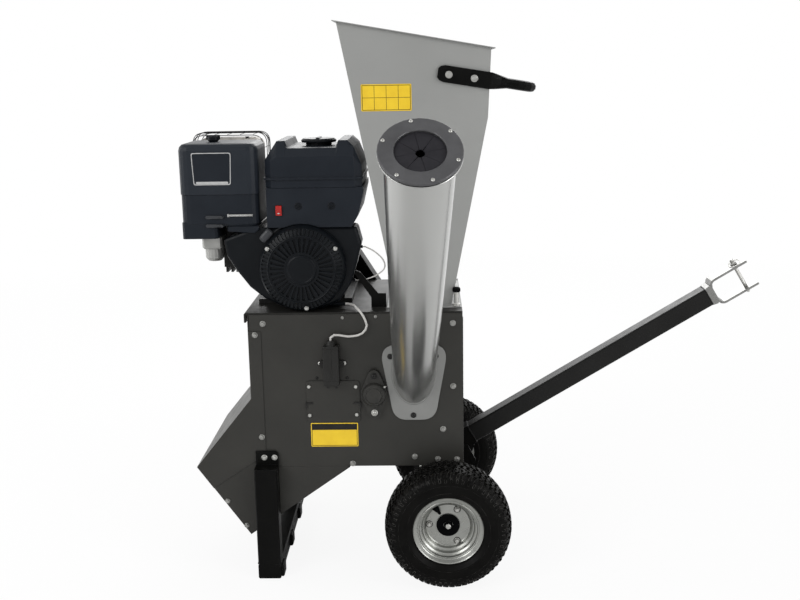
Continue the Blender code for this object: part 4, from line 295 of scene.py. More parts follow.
RING_PAINT = Finish("dark_ring_paint", (0.055, 0.055, 0.058), (0.080, 0.080, 0.084), 0.40, 0.38, 0.07,
                    Grain.HAMMERED, 0.0022, 0.00006, 0.05, (0.3, 0.3, 0.3), 0.5, specular=0.4)
BLACK_PAINT = Finish("satin_black_paint", (0.0028, 0.0028, 0.0027), (0.0045, 0.0045, 0.0042), 0.0, 0.34, 0.06,
                     Grain.SATIN, 0.0018, 0.00005, 0.09, (0.06, 0.06, 0.06), 0.4, specular=0.06)
BAR_PAINT = Finish("tow_bar_paint", (0.0055, 0.0055, 0.0052), (0.0085, 0.0085, 0.0081), 0.0, 0.32, 0.06,
                   Grain.SATIN, 0.0018, 0.00005, 0.09, (0.08, 0.08, 0.08), 0.4, specular=0.18)
ENGINE_PLASTIC = Finish("engine_plastic", (0.0095, 0.0120, 0.0165), (0.0130, 0.0160, 0.0212), 0.0, 0.38, 0.04,
                        Grain.MOULDED, 0.00055, 0.00004, 0.10, (0.040, 0.045, 0.052), 0.35, rounding=0.0030,
                        specular=0.12)
DARK_PLASTIC = Finish("dark_plastic", (0.0030, 0.0040, 0.0054), (0.0052, 0.0064, 0.0080), 0.0, 0.34, 0.06,
                      Grain.MOULDED, 0.00045, 0.00004, 0.06, (0.030, 0.033, 0.037), 0.35, rounding=0.0014,
                      specular=0.12)
GRIP_PLASTIC = Finish("grip_plastic", (0.024, 0.026, 0.030), (0.036, 0.038, 0.042), 0.0, 0.42, 0.05,
                      Grain.MOULDED, 0.00060, 0.00005, 0.03, (0.09, 0.09, 0.09), 0.4, rounding=0.0020,
                      specular=0.3)
FAN_BLACK = Finish("fan_black", (0.0012, 0.0013, 0.0015), (0.0021, 0.0022, 0.0025), 0.0, 0.55, 0.06,
                   Grain.MOULDED, 0.00080, 0.00004, 0.03, (0.012, 0.012, 0.013), 0.4, specular=0.03)
BOX_PLASTIC = Finish("grey_black_plastic", (0.0130, 0.0128, 0.0118), (0.0175, 0.0172, 0.0160), 0.0, 0.46,
                     0.05, Grain.MOULDED, 0.0005, 0.00004, 0.04, (0.045, 0.045, 0.043), 0.4, rounding=0.0008,
                     specular=0.22)
RED_PLASTIC = Finish("red_plastic_finish", (0.36, 0.014, 0.011), (0.29, 0.011, 0.009), 0.0, 0.36, 0.05,
                     Grain.MOULDED, 0.0006, 0.00003, 0.01, rounding=0.0006, specular=0.3)
FLAP_RUBBER = Finish("flap_rubber", (0.0135, 0.0130, 0.0160), (0.0200, 0.0193, 0.0230), 0.0, 0.60, 0.08,
                     Grain.RUBBER, 0.0012, 0.00010, 0.03, rounding=0.0006, specular=0.15)
BELT_RUBBER = Finish("belt_rubber", (0.012, 0.012, 0.012), (0.020, 0.019, 0.018), 0.0, 0.72, 0.08,
                     Grain.RUBBER, 0.0010, 0.0001, 0.02, rounding=0.0006, specular=0.15)
# The tyre's light edge colour at share 0.80 is a painted highlight: glints along the tread blocks' edges.
TYRE_RUBBER = Finish("tyre_rubber_painted_glints", (0.0026, 0.0025, 0.0023), (0.0050, 0.0048, 0.0044), 0.0, 0.40,
                     0.08, Grain.RUBBER, 0.0016, 0.00010, 0.05, (0.150, 0.146, 0.138), 0.80, rounding=0.0008,
                     specular=0.055)
ZINC_PLATE = Finish("zinc_plating", (0.42, 0.415, 0.39), (0.55, 0.55, 0.53), 0.85, 0.34, 0.07,
                    Grain.SPANGLED, 0.006, 0.00002, 0.02, (0.75, 0.75, 0.72), 0.3, rounding=0.0007)
RIM_ZINC = Finish("rim_zinc", (0.310, 0.315, 0.295), (0.345, 0.350, 0.330), 0.85, 0.29, 0.03,
                  Grain.SATIN, 0.004, 0.000004, 0.05, (0.62, 0.62, 0.60), 0.25, rounding=0.0005)
CLEVIS_ZINC = Finish("clevis_zinc", (0.20, 0.20, 0.193), (0.28, 0.28, 0.27), 0.90, 0.24, 0.05,
                     Grain.SATIN, 0.004, 0.00001, 0.02, (0.50, 0.50, 0.48), 0.2, rounding=0.0007)
CLEANER_PLASTIC = Finish("cleaner_plastic", (0.0140, 0.0172, 0.0228), (0.0182, 0.0220, 0.0282), 0.0, 0.38,
                         0.04, Grain.MOULDED, 0.00055, 0.00004, 0.10, (0.048, 0.053, 0.060), 0.35,
                         rounding=0.0030, specular=0.14)
BOLT_BLACK = Finish("blackened_bolt", (0.012, 0.012, 0.012), (0.024, 0.0235, 0.0225), 0.4, 0.36, 0.08,
                    Grain.SATIN, 0.0010, 0.00003, 0.01, (0.16, 0.16, 0.16), 0.6, rounding=0.0005,
                    specular=0.3)
BOLT_DULL = Finish("dull_zinc_bolt", (0.22, 0.22, 0.21), (0.38, 0.38, 0.36), 0.80, 0.34, 0.08,
                   Grain.SPANGLED, 0.004, 0.00003, 0.01, (0.70, 0.70, 0.67), 0.6, rounding=0.0007)
BARE_STEEL = Finish("machined_steel", (0.40, 0.40, 0.39), (0.52, 0.52, 0.51), 0.95, 0.30, 0.08,
                    Grain.BRUSHED, 0.0012, 0.00003, 0.03, (0.7, 0.7, 0.69), 0.3, along=(1.0, 12.0, 1.0))
CAST_HOUSING = Finish("cast_dark_housing", (0.022, 0.022, 0.020), (0.036, 0.035, 0.032), 0.30, 0.44, 0.07,
                      Grain.CAST, 0.0022, 0.00018, 0.03, (0.15, 0.15, 0.14), 0.45, specular=0.3)
ENGINE_CASTING = Finish("engine_casting_finish", (0.30, 0.30, 0.29), (0.40, 0.40, 0.385), 0.75, 0.48, 0.08,
                        Grain.CAST, 0.0016, 0.00018, 0.04, (0.6, 0.6, 0.58), 0.35)
BLOCK_CASTING = Finish("block_casting", (0.012, 0.012, 0.012), (0.022, 0.022, 0.021), 0.3, 0.44, 0.08,
                       Grain.CAST, 0.0016, 0.00018, 0.04, (0.12, 0.12, 0.115), 0.4, specular=0.2)
BED_PAINT = Finish("bed_paint", (0.0145, 0.0142, 0.0130), (0.0195, 0.0190, 0.0172), 0.10, 0.42, 0.05,
                   Grain.HAMMERED, 0.0032, 0.00008, 0.16, (0.08, 0.08, 0.075), 0.3, specular=0.12)
MUFFLER_STEEL = Finish("muffler_steel", (0.16, 0.155, 0.145), (0.25, 0.235, 0.21), 0.80, 0.44, 0.10,
                       Grain.SATIN, 0.0020, 0.00005, 0.04, (0.4, 0.38, 0.34), 0.4)
SHEATH = Finish("pale_sheath", (0.50, 0.49, 0.47), (0.58, 0.56, 0.54), 0.0, 0.42, 0.06,
                Grain.MOULDED, 0.0012, 0.00003, 0.03, rounding=0.0004)
PLATE_YELLOW = Finish("yellow_plate", (0.70, 0.46, 0.010), (0.76, 0.52, 0.014), 0.0, 0.40, 0.05,
                      Grain.SATIN, 0.0014, 0.00002, 0.03, (0.5, 0.4, 0.1), 0.4, rounding=0.0004)
PLATE_DARK = Finish("dark_plate", (0.010, 0.0095, 0.0090), (0.016, 0.015, 0.0135), 0.0, 0.42, 0.06,
                    Grain.SATIN, 0.0014, 0.00002, 0.02, rounding=0.0004, specular=0.2)
PLATE_SILVER = Finish("silver_line", (0.42, 0.42, 0.42), (0.50, 0.50, 0.50), 0.5, 0.34, 0.06,
                      Grain.SATIN, 0.0010, 0.00002, 0.02, rounding=0.0004)
WELD_STEEL = Finish("painted_weld", (0.0050, 0.0050, 0.0047), (0.0090, 0.0090, 0.0085), 0.1, 0.40, 0.08,
                    Grain.CAST, 0.0016, 0.00018, 0.02, rounding=0.0005, specular=0.15)


@dataclass(frozen=True)
class Bolt:
    """Sizes of a hexagon head: its width across corners, its height and its washer's radius, 0 for none."""

    size: float
    head: float
    washer: float = 0.0


@dataclass(frozen=True)
class Screw:
    """Sizes of a button head with a socket: its radius, its height and its washer's radius, 0 for none."""

    radius: float
    head: float
    washer: float = 0.0


WALL_BOLT = Bolt(0.0112, 0.0050, 0.0078)
STRIP_BOLT = Bolt(0.0108, 0.0048, 0.0076)
COVER_BOLT = Bolt(0.0105, 0.0048)
CHUTE_BOLT = Bolt(0.0098, 0.0040, 0.0068)
PULLEY_BOLT = Bolt(0.0105, 0.0040)
HANDLE_BOLT = Bolt(0.0125, 0.0054, 0.0088)
FLANGE_BOLT = Bolt(0.0110, 0.0045, 0.0080)
RIM_NUT = Bolt(0.0125, 0.0062, 0.0074)
AXLE_BOLT = Bolt(0.0150, 0.0042)
RECOIL_SCREW = Bolt(0.0088, 0.0036, 0.0055)
GUARD_BOLT = Bolt(0.0100, 0.0042, 0.0078)
SHROUD_SCREW = Bolt(0.0090, 0.0022)
BED_SCREW = Screw(0.0042, 0.0026)
KEY_SCREW = Screw(0.0040, 0.0022)
BEARING_SCREW = Screw(0.0066, 0.0052, 0.0086)
RING_SCREW = Screw(0.0042, 0.0024)
FOOT_SCREW = Screw(0.0058, 0.0040, 0.0076)


def spot(x: float, y: float, z: float) -> Vector:
    """Point in the row frame, from a place measured off the wheel axle."""
    return Vector((x + AXLE_X, y, z))


def basis(axis: Point) -> tuple[Vector, Vector, Vector]:
    """Two unit directions across an axis, and the axis itself.

    Args:
        axis: The direction that the other two are square to.

    Returns:
        The sideways, upward and axial directions.
    """
    forward = Vector(axis).normalized()
    guide = UP if abs(forward.z) < 0.9 else AWAY
    across = guide.cross(forward).normalized()
    return across, forward.cross(across), forward


def soften(points: Profile, radius: float, steps: int = 4, closed: bool = False) -> list[tuple[float, float]]:
    """Round the corners of a flat line or outline.

    Args:
        points: The corners in order.
        radius: Wanted radius, which is limited by the neighbouring edges.
        steps: Number of short edges in a corner.
        closed: True if the last corner joins the first.

    Returns:
        The line with its corners rounded.
    """
    made: list[tuple[float, float]] = []
    count = len(points)
    for index, here in enumerate(points):
        if not closed and index in (0, count - 1):
            made.append((here[0], here[1]))
            continue
        corner = Vector(here)
        back = Vector(points[index - 1]) - corner
        ahead = Vector(points[(index + 1) % count]) - corner
        if min(back.length, ahead.length) < 1e-7:
            made.append((here[0], here[1]))
            continue
        opening = acos(max(-1.0, min(1.0, back.normalized().dot(ahead.normalized()))))
        if opening > radians(172):
            made.append((here[0], here[1]))
            continue
        reach = min(radius / tan(opening / 2), back.length * 0.45, ahead.length * 0.45)
        start, end = corner + back.normalized() * reach, corner + ahead.normalized() * reach
        for step in range(steps + 1):
            t = step / steps
            point = start.lerp(corner, t).lerp(corner.lerp(end, t), t)
            made.append((point.x, point.y))
    return made


def rectangle(width: float, height: float, corner: float = 0.0) -> list[tuple[float, float]]:
    """Outline of a rectangle round its middle, with rounded corners if asked for.

    Args:
        width: Its width.
        height: Its height.
        corner: Radius of its corners, or 0 for sharp ones.

    Returns:
        The outline's corners in order.
    """
    outline = [(-width / 2, -height / 2), (width / 2, -height / 2), (width / 2, height / 2),
               (-width / 2, height / 2)]
    return soften(outline, corner, 5, True) if corner else outline


class Form:
    """A mesh under construction, with its corners in the row frame."""

    def __init__(self) -> None:
        """Start with an empty mesh."""
        self.mesh = bmesh.new()

    def _face(self, corners: Sequence[bmesh.types.BMVert]) -> None:
        """Add one face, unless its corners are too few.

        Args:
            corners: The face's corners in order, where some may be the same.
        """
        unique = list(dict.fromkeys(corners))
        if len(unique) > 2:
            self.mesh.faces.new(unique)

    def skin(self, rings: Sequence[Sequence[Vector]], closed: bool = False, capped: bool = True) -> "Form":
        """Join rings of points by faces.

        Args:
            rings: Rings of equal count, or of one point for a tip.
            closed: True if the last ring joins the first.
            capped: True if the open ends get a face.

        Returns:
            This form.
        """
        made = [[self.mesh.verts.new(point) for point in ring] for ring in rings]
        pairs = list(zip(made, made[1:])) + ([(made[-1], made[0])] if closed else [])
        for first, second in pairs:
            count = max(len(first), len(second))
            for index in range(count):
                after = (index + 1) % count
                a, b = first[index % len(first)], first[after % len(first)]
                c, d = second[after % len(second)], second[index % len(second)]
                self._face([a, b, c, d])
        if capped and not closed:
            for ring in (made[0], made[-1]):
                self._face(ring)
        return self

    def lathe(self, profile: Profile, centre: Point, axis: Point, segments: int = 24,
              closed: bool = False, turn: float = 0.0) -> "Form":
        """Turn a profile of (radius, height) pairs round an axis.

        Args:
            profile: The line that is turned.
            centre: The point at height 0.
            axis: The direction of height.
            segments: Number of sides.
            closed: True if the profile is a closed line.
            turn: Angle of the first corner, in degrees.

        Returns:
            This form.
        """
        across, upward, forward = basis(axis)
        middle = Vector(centre)
        rings = []
        for radius, height in profile:
            if radius < 1e-6:
                rings.append([middle + forward * height])
                continue
            ring = []
            for index in range(segments):
                angle = 2 * pi * index / segments + radians(turn)
                ring.append(middle + forward * height + (across * cos(angle) + upward * sin(angle)) * radius)
            rings.append(ring)
        return self.skin(rings, closed, True)

    def prism(self, outline: Profile, centre: Point, axis: Point, low: float, high: float,
              taper: float = 1.0, turn: float = 0.0) -> "Form":
        """Raise an outline along an axis.

        Args:
            outline: Corners across the axis.
            centre: The outline's origin.
            axis: The direction in which it is raised.
            low: Height of the first face.
            high: Height of the last face.
            taper: Size of the last face against the first.
            turn: Angle of the outline, in degrees.

        Returns:
            This form.
        """
        across, upward, forward = basis(axis)
        middle = Vector(centre)
        c, s = cos(radians(turn)), sin(radians(turn))
        rings = []
        for height, scale in ((low, 1.0), (high, taper)):
            ring = []
            for u, v in outline:
                x, y = (u * c - v * s) * scale, (u * s + v * c) * scale
                ring.append(middle + across * x + upward * y + forward * height)
            rings.append(ring)
        return self.skin(rings)

    def block(self, low: Point, high: Point) -> "Form":
        """Add a box between two corners.

        Args:
            low: The corner with the lowest values.
            high: The corner with the highest values.

        Returns:
            This form.
        """
        a, b = Vector(low), Vector(high)
        rings = [[Vector((x, y, z)) for x, y in ((a.x, a.y), (b.x, a.y), (b.x, b.y), (a.x, b.y))]
                 for z in (a.z, b.z)]
        return self.skin(rings)

    def tube(self, points: Sequence[Point], radius: float | Sequence[float], sides: int = 10,
             closed: bool = False) -> "Form":
        """Sweep a round section along points.

        Args:
            points: The centreline.
            radius: One radius, or one for each point.
            sides: Number of sides.
            closed: True if the line closes on itself.

        Returns:
            This form.
        """
        line = [Vector(point) for point in points]
        count = len(line)
        sizes = [radius] * count if isinstance(radius, (int, float)) else list(radius)
        rings = []
        across = None
        for index, point in enumerate(line):
            before = line[index - 1] if index or closed else point
            after = line[(index + 1) % count] if index < count - 1 or closed else point
            ahead = (after - before).normalized()
            if across is None:
                across = basis(ahead)[0]
            across = (across - ahead * across.dot(ahead)).normalized()
            upward = ahead.cross(across)
            ring = []
            for k in range(sides):
                angle = 2 * pi * k / sides
                ring.append(point + (across * cos(angle) + upward * sin(angle)) * sizes[index])
            rings.append(ring)
        return self.skin(rings, closed)

    def bolt(self, at: Point, axis: Point, kind: Bolt, turn: float = 0.0) -> "Form":
        """Hexagon bolt head, on a washer if its kind has one.

        Args:
            at: Point on the face that it lies on.
            axis: Direction out of the face.
            kind: Its sizes.
            turn: Angle of the head, in degrees.

        Returns:
            This form.
        """
        sole, washer, head = 0.0, kind.washer, kind.head
        if washer:
            sole = 0.0014
            self.lathe([(0, 0), (washer, 0), (washer, sole * 0.7), (washer - 0.0005, sole), (0, sole)],
                       at, axis, 20)
        half = kind.size / 2
        self.lathe([(0, sole), (half, sole), (half, sole + head * 0.78), (half * 0.84, sole + head),
                    (0, sole + head)], at, axis, 6, turn=turn)
        return self

    def socket_screw(self, at: Point, axis: Point, kind: Screw) -> "Form":
        """Button-head screw with a round socket, on a washer if its kind has one.

        Args:
            at: Point on the face that it lies on.
            axis: Direction out of the face.
            kind: Its sizes.

        Returns:
            This form.
        """
        sole, radius, head = 0.0, kind.radius, kind.head
        if kind.washer:
            sole = 0.0012
            self.lathe([(0, 0), (kind.washer, 0), (kind.washer, sole), (0, sole)], at, axis, 20)
        inner = radius * 0.48
        self.lathe([(0, sole), (radius, sole), (radius * 0.98, sole + head * 0.45),
                    (radius * 0.82, sole + head * 0.85), (radius * 0.6, sole + head),
                    (inner, sole + head), (inner * 0.9, sole + head * 0.35),
                    (0, sole + head * 0.3)], at, axis, 18)
        return self

    def rivet(self, at: Point, axis: Point, radius: float, head: float) -> "Form":
        """Domed rivet with a dimple.

        Args:
            at: Point on the face that it lies on.
            axis: Direction out of the face.
            radius: Radius of the head.
            head: Height of the head.

        Returns:
            This form.
        """
        self.lathe([(0, 0), (radius, 0), (radius * 0.92, head * 0.5), (radius * 0.66, head * 0.92),
                    (radius * 0.4, head), (radius * 0.3, head * 0.6), (0, head * 0.5)], at, axis, 18)
        return self

    def bead(self, start: Point, end: Point, radius: float) -> "Form":
        """Weld bead with ripples along a straight seam.

        Args:
            start: Start of the seam.
            end: End of the seam.
            radius: Mean radius of the bead.

        Returns:
            This form.
        """
        first, last = Vector(start), Vector(end)
        steps = max(6, ceil((last - first).length / 0.0022))
        line = [first.lerp(last, step / steps) for step in range(steps + 1)]
        sizes = [radius * (0.86 + 0.14 * cos(step * 2.1) + 0.06 * sin(step * 0.9))
                 for step in range(steps + 1)]
        sizes[0] = sizes[-1] = radius * 0.45
        return self.tube(line, sizes, 8)


def piece(name: str, form: Form, finish: Finish, body: str = "machine",
          bevel: float = 0.0, sharp: float = 35.0) -> bpy.types.Object:
    """Turn a form into an object that rides on a body.

    Args:
        name: Name of the piece.
        form: Its mesh.
        finish: Its surface finish.
        body: The body that it rides on.
        bevel: Width of the edge bevel, or 0 for none.
        sharp: Angle in degrees above which an edge stays sharp.

    Returns:
        The new object.
    """
    bmesh.ops.recalc_face_normals(form.mesh, faces=form.mesh.faces)
    mesh = bpy.data.meshes.new(name)
    form.mesh.to_mesh(mesh)
    form.mesh.free()
    mesh.shade_smooth()
    mesh.set_sharp_from_angle(angle=radians(sharp))
    mesh.materials.append(finish.material())
    made = bpy.data.objects.new(name, mesh)
    bpy.context.scene.collection.objects.link(made)
    if bevel:
        modifier = made.modifiers.new("edges", "BEVEL")
        modifier.width = bevel
        modifier.segments = 2
        modifier.limit_method = "ANGLE"
        modifier.angle_limit = radians(40)
    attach(made, body)
    LOG.info("made %s on %s", name, body)
    return made


def coat(finish: Finish, *nodes: str) -> None:
    """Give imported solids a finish.

    Args:
        finish: The finish.
        *nodes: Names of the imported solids.
    """
    for name in nodes:
        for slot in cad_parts[name].material_slots:
            slot.material = finish.material()
        LOG.info("finished %s as %s", name, finish.name)


@dataclass
class Studio:
    """Camera at the photograph's angle, pale floor and soft lamps."""

    eye: Point = (0.4326, -2.8265, 1.3164)
    pitch: float = 12.3138
    yaw: float = -1.6418
    roll: float = 0.9704
    lens: float = 47.18
    sensor: float = 36.0
    view_end: float = 60.0
    aim: Point = (0.45, 0.0, 0.70)
    floor_tone: float = 0.80
    floor_swing: float = 0.02
    floor_patch: float = 0.8
    world_strength: float = 0.62
    front_share: float = 0.26
    floor_glow: tuple[float, float] = (0.90, 1.0)
    floor_reach: tuple[float, float] = (1.2, 5.0)
    gloss_reach: tuple[float, float] = (2.2, 5.5)
    front_band: tuple[float, float] = (-0.95, -0.35)
    floor_radius: float = 26.0
    floor_sides: int = 64
    floor_drop: float = 0.0004
    lamp_plan: tuple[tuple[str, Point, float, float], ...] = (
        ("key", (-4.2, -5.0, 4.0), 3.6, 215), ("fill", (5.6, -4.0, 2.6), 3.2, 165),
        ("back", (0.6, 3.2, 2.8), 2.6, 60), ("left_strip", (-3.4, 0.6, 1.6), 1.8, 34))

    def camera(self) -> None:
        """Place the camera that took the photograph."""
        p, y, r = radians(self.pitch), radians(self.yaw), radians(self.roll)
        ahead = Vector((sin(y) * cos(p), cos(y) * cos(p), -sin(p)))
        across = Vector((cos(y), -sin(y), 0))
        upward = across.cross(ahead)
        rolled = across * cos(r) - upward * sin(r)
        risen = upward * cos(r) + across * sin(r)
        data = bpy.data.cameras.new("view")
        data.lens = self.lens
        data.sensor_width = self.sensor
        data.clip_end = self.view_end
        made = bpy.data.objects.new("view", data)
        bpy.context.scene.collection.objects.link(made)
        turned = Matrix((rolled, risen, -ahead)).transposed().to_4x4()
        made.matrix_world = Matrix.Translation(self.eye) @ turned
        bpy.context.scene.camera = made
        bpy.context.scene.view_settings.view_transform = "Standard"
        LOG.info("placed the camera")

    def lamp(self, name: str, at: Point, size: float, power: float) -> None:
        """Add a square soft lamp that faces the machine.

        Args:
            name: Name of the lamp.
            at: Its place.
            size: Its side, in metres.
            power: Its power, in watts.
        """
        data = bpy.data.lights.new(name, "AREA")
        data.shape = "SQUARE"
        data.size = size
        data.energy = power
        made = bpy.data.objects.new(name, data)
        bpy.context.scene.collection.objects.link(made)
        made.location = at
        made.rotation_euler = (Vector(self.aim) - Vector(at)).to_track_quat("-Z", "Y").to_euler()

    def lamps(self) -> None:
        """Add the lamps."""
        for name, at, size, power in self.lamp_plan:
            self.lamp(name, at, size, power)

    def world(self) -> None:
        """White surroundings for the camera and through glass, with a dimmer front in mirrors."""
        world = bpy.data.worlds.new("studio")
        bpy.context.scene.world = world
        web = Web(world)
        white = (1.0, 1.0, 1.0, 1.0)
        path = web.add("LightPath")
        direct = web.add("Math", {0: path.outputs["Is Camera Ray"], 1: path.outputs["Is Transmission Ray"]},
                         operation="MAXIMUM")
        place = web.add("TexCoord").outputs["Generated"]
        level = web.add("SeparateXYZ", {0: place}).outputs["Y"]
        front = web.span(level, *self.front_band, self.front_share)
        mirror = web.add("Background", {"Color": white, "Strength": front})
        plain = web.add("Background", {"Color": white, "Strength": self.world_strength})
        bright = web.add("Background", {"Color": white})
        lit = web.add("MixShader", {0: path.outputs["Is Glossy Ray"], 1: plain.outputs[0],
                                    2: mirror.outputs[0]})
        seen = web.add("MixShader", {0: direct.outputs[0], 1: lit.outputs[0], 2: bright.outputs[0]})
        out = web.add("OutputWorld")
        web.tree.links.new(seen.outputs[0], out.inputs[0])

    def floor(self) -> None:
        """Wide pale floor that keeps a soft shadow."""
        material = bpy.data.materials.new("pale_floor")
        web = Web(material)
        path = web.add("LightPath")
        place = web.add("TexCoord").outputs["Object"]
        distance = web.add("VectorMath", {0: place}, operation="LENGTH").outputs["Value"]
        glowing = web.span(distance, *self.floor_reach, *self.floor_glow)
        direct = web.times(path.outputs["Is Camera Ray"], glowing)
        mirrored = web.times(path.outputs["Is Glossy Ray"], web.span(distance, *self.gloss_reach))
        share = web.add("Math", {0: direct, 1: mirrored}, operation="MAXIMUM").outputs[0]
        tone = web.blend(web.noise(place, self.floor_patch, 2.0), (self.floor_tone,) * 3,
                         (self.floor_tone + self.floor_swing,) * 3)
        matt = web.add("BsdfDiffuse", {"Color": tone})
        glow = web.add("Emission", {"Color": (1.0, 1.0, 1.0, 1.0), "Strength": 1.0})
        mixed = web.add("MixShader", {0: share, 1: matt.outputs[0], 2: glow.outputs[0]})
        out = web.add("OutputMaterial")
        web.tree.links.new(mixed.outputs[0], out.inputs[0])
        mesh = bpy.data.meshes.new("floor")
        work = bmesh.new()
        bmesh.ops.create_circle(work, cap_ends=True, segments=self.floor_sides,
                                radius=self.floor_radius)
        work.to_mesh(mesh)
        work.free()
        mesh.materials.append(material)
        made = bpy.data.objects.new("floor", mesh)
        made.location = (self.aim[0], 0.0, -self.floor_drop)
        bpy.context.scene.collection.objects.link(made)

    def build(self) -> None:
        """Build the floor, the world and the lamps."""
        self.world()
        self.floor()
        self.lamps()
        LOG.info("lit the studio")


@dataclass
class Cords:
    """The interlock lead and the stop wire, both held at their two ends."""

    lead_diameter: float = 0.006
    wire_diameter: float = 0.0035
    spacing: float = 2.2
    fine_steps: int = 24
    lead_route: tuple[Point, ...] = (
        (-0.2617, -0.160, 0.7258), (-0.2537, -0.160, 0.7258), (-0.238, -0.176, 0.7245),
        (-0.231, -0.201, 0.7240), (-0.222, -0.2180, 0.7205), (-0.210, -0.2245, 0.704),
        (-0.203, -0.225, 0.680), (-0.218, -0.225, 0.660), (-0.250, -0.225, 0.654), (-0.274, -0.228, 0.6585))
    wire_route: tuple[Point, ...] = (
        (-0.2137, -0.140, 0.8728), (-0.2077, -0.140, 0.8728), (-0.184, -0.140, 0.860),
        (-0.162, -0.140, 0.838), (-0.158, -0.140, 0.816), (-0.178, -0.140, 0.798),
        (-0.206, -0.140, 0.7868), (-0.2277, -0.140, 0.7848), (-0.2357, -0.140, 0.7848))
    box_centre: Point = (-0.2965, -0.2309, 0.6453)

    def smooth(self, points: Sequence[Point], gap: float) -> list[Vector]:
        """Read points at an even spacing from a smooth curve, with a straight stub at both ends.

        Args:
            points: The points that the route passes.
            gap: Distance between the points that are read.

        Returns:
            The route in the row frame.
        """
        first, *route, last = [spot(*point) for point in points]
        padded = [2 * route[0] - route[1], *route, 2 * route[-1] - route[-2]]
        fine = []
        for index in range(1, len(padded) - 2):
            before, here, after, beyond = padded[index - 1:index + 3]
            for step in range(self.fine_steps):
                t = step / self.fine_steps
                fine.append(0.5 * ((2 * here) + (after - before) * t
                                   + (2 * before - 5 * here + 4 * after - beyond) * t ** 2
                                   + (3 * here - before - 3 * after + beyond) * t ** 3))
        fine.append(route[-1])
        length = sum((b - a).length for a, b in zip(fine, fine[1:]))
        steps = max(4, ceil(length / gap))
        made = [fine[0]]
        travelled = 0.0
        for a, b in zip(fine, fine[1:]):
            reach = (b - a).length
            while len(made) < steps and travelled + reach >= len(made) * length / steps:
                made.append(a.lerp(b, (len(made) * length / steps - travelled) / reach))
            travelled += reach
        return [first, *made, fine[-1], last]

    def lay(self, name: str, points: Sequence[Point], diameter: float, node: str) -> None:
        """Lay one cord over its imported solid.

        Args:
            name: Name of the piece.
            points: The points that it passes.
            diameter: Its diameter.
            node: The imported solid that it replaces.
        """
        route = self.smooth(points, diameter * self.spacing)
        curve = bpy.data.curves.new(name, "CURVE")
        curve.dimensions = "3D"
        curve.bevel_depth = diameter / 2
        curve.bevel_resolution = 4
        curve.use_fill_caps = True
        spline = curve.splines.new("POLY")
        spline.points.add(len(route) - 1)
        for point, at in zip(spline.points, route):
            point.co = (*at, 1.0)
        spline.use_smooth = True
        curve.materials.append(SHEATH.material())
        made = bpy.data.objects.new(name, curve)
        bpy.context.scene.collection.objects.link(made)
        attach(made, "machine")
        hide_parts(node)

    def dress(self) -> None:
        """Lay both cords."""
        x, y, z = self.box_centre
        tail = ((x + 0.005, y, z + 0.0135), (x, y, z + 0.007), (x, y, z))
        self.lay("interlock_lead", self.lead_route + tail, self.lead_diameter, "switch_lead")
        self.lay("stop_lead", self.wire_route, self.wire_diameter, "stop_wire")


@dataclass(frozen=True)
class Lug:
    """One tread block: its shift and half width as shares of the pitch, its stations and its height."""

    shift: float
    stations: Profile
    half: float
    lift: float


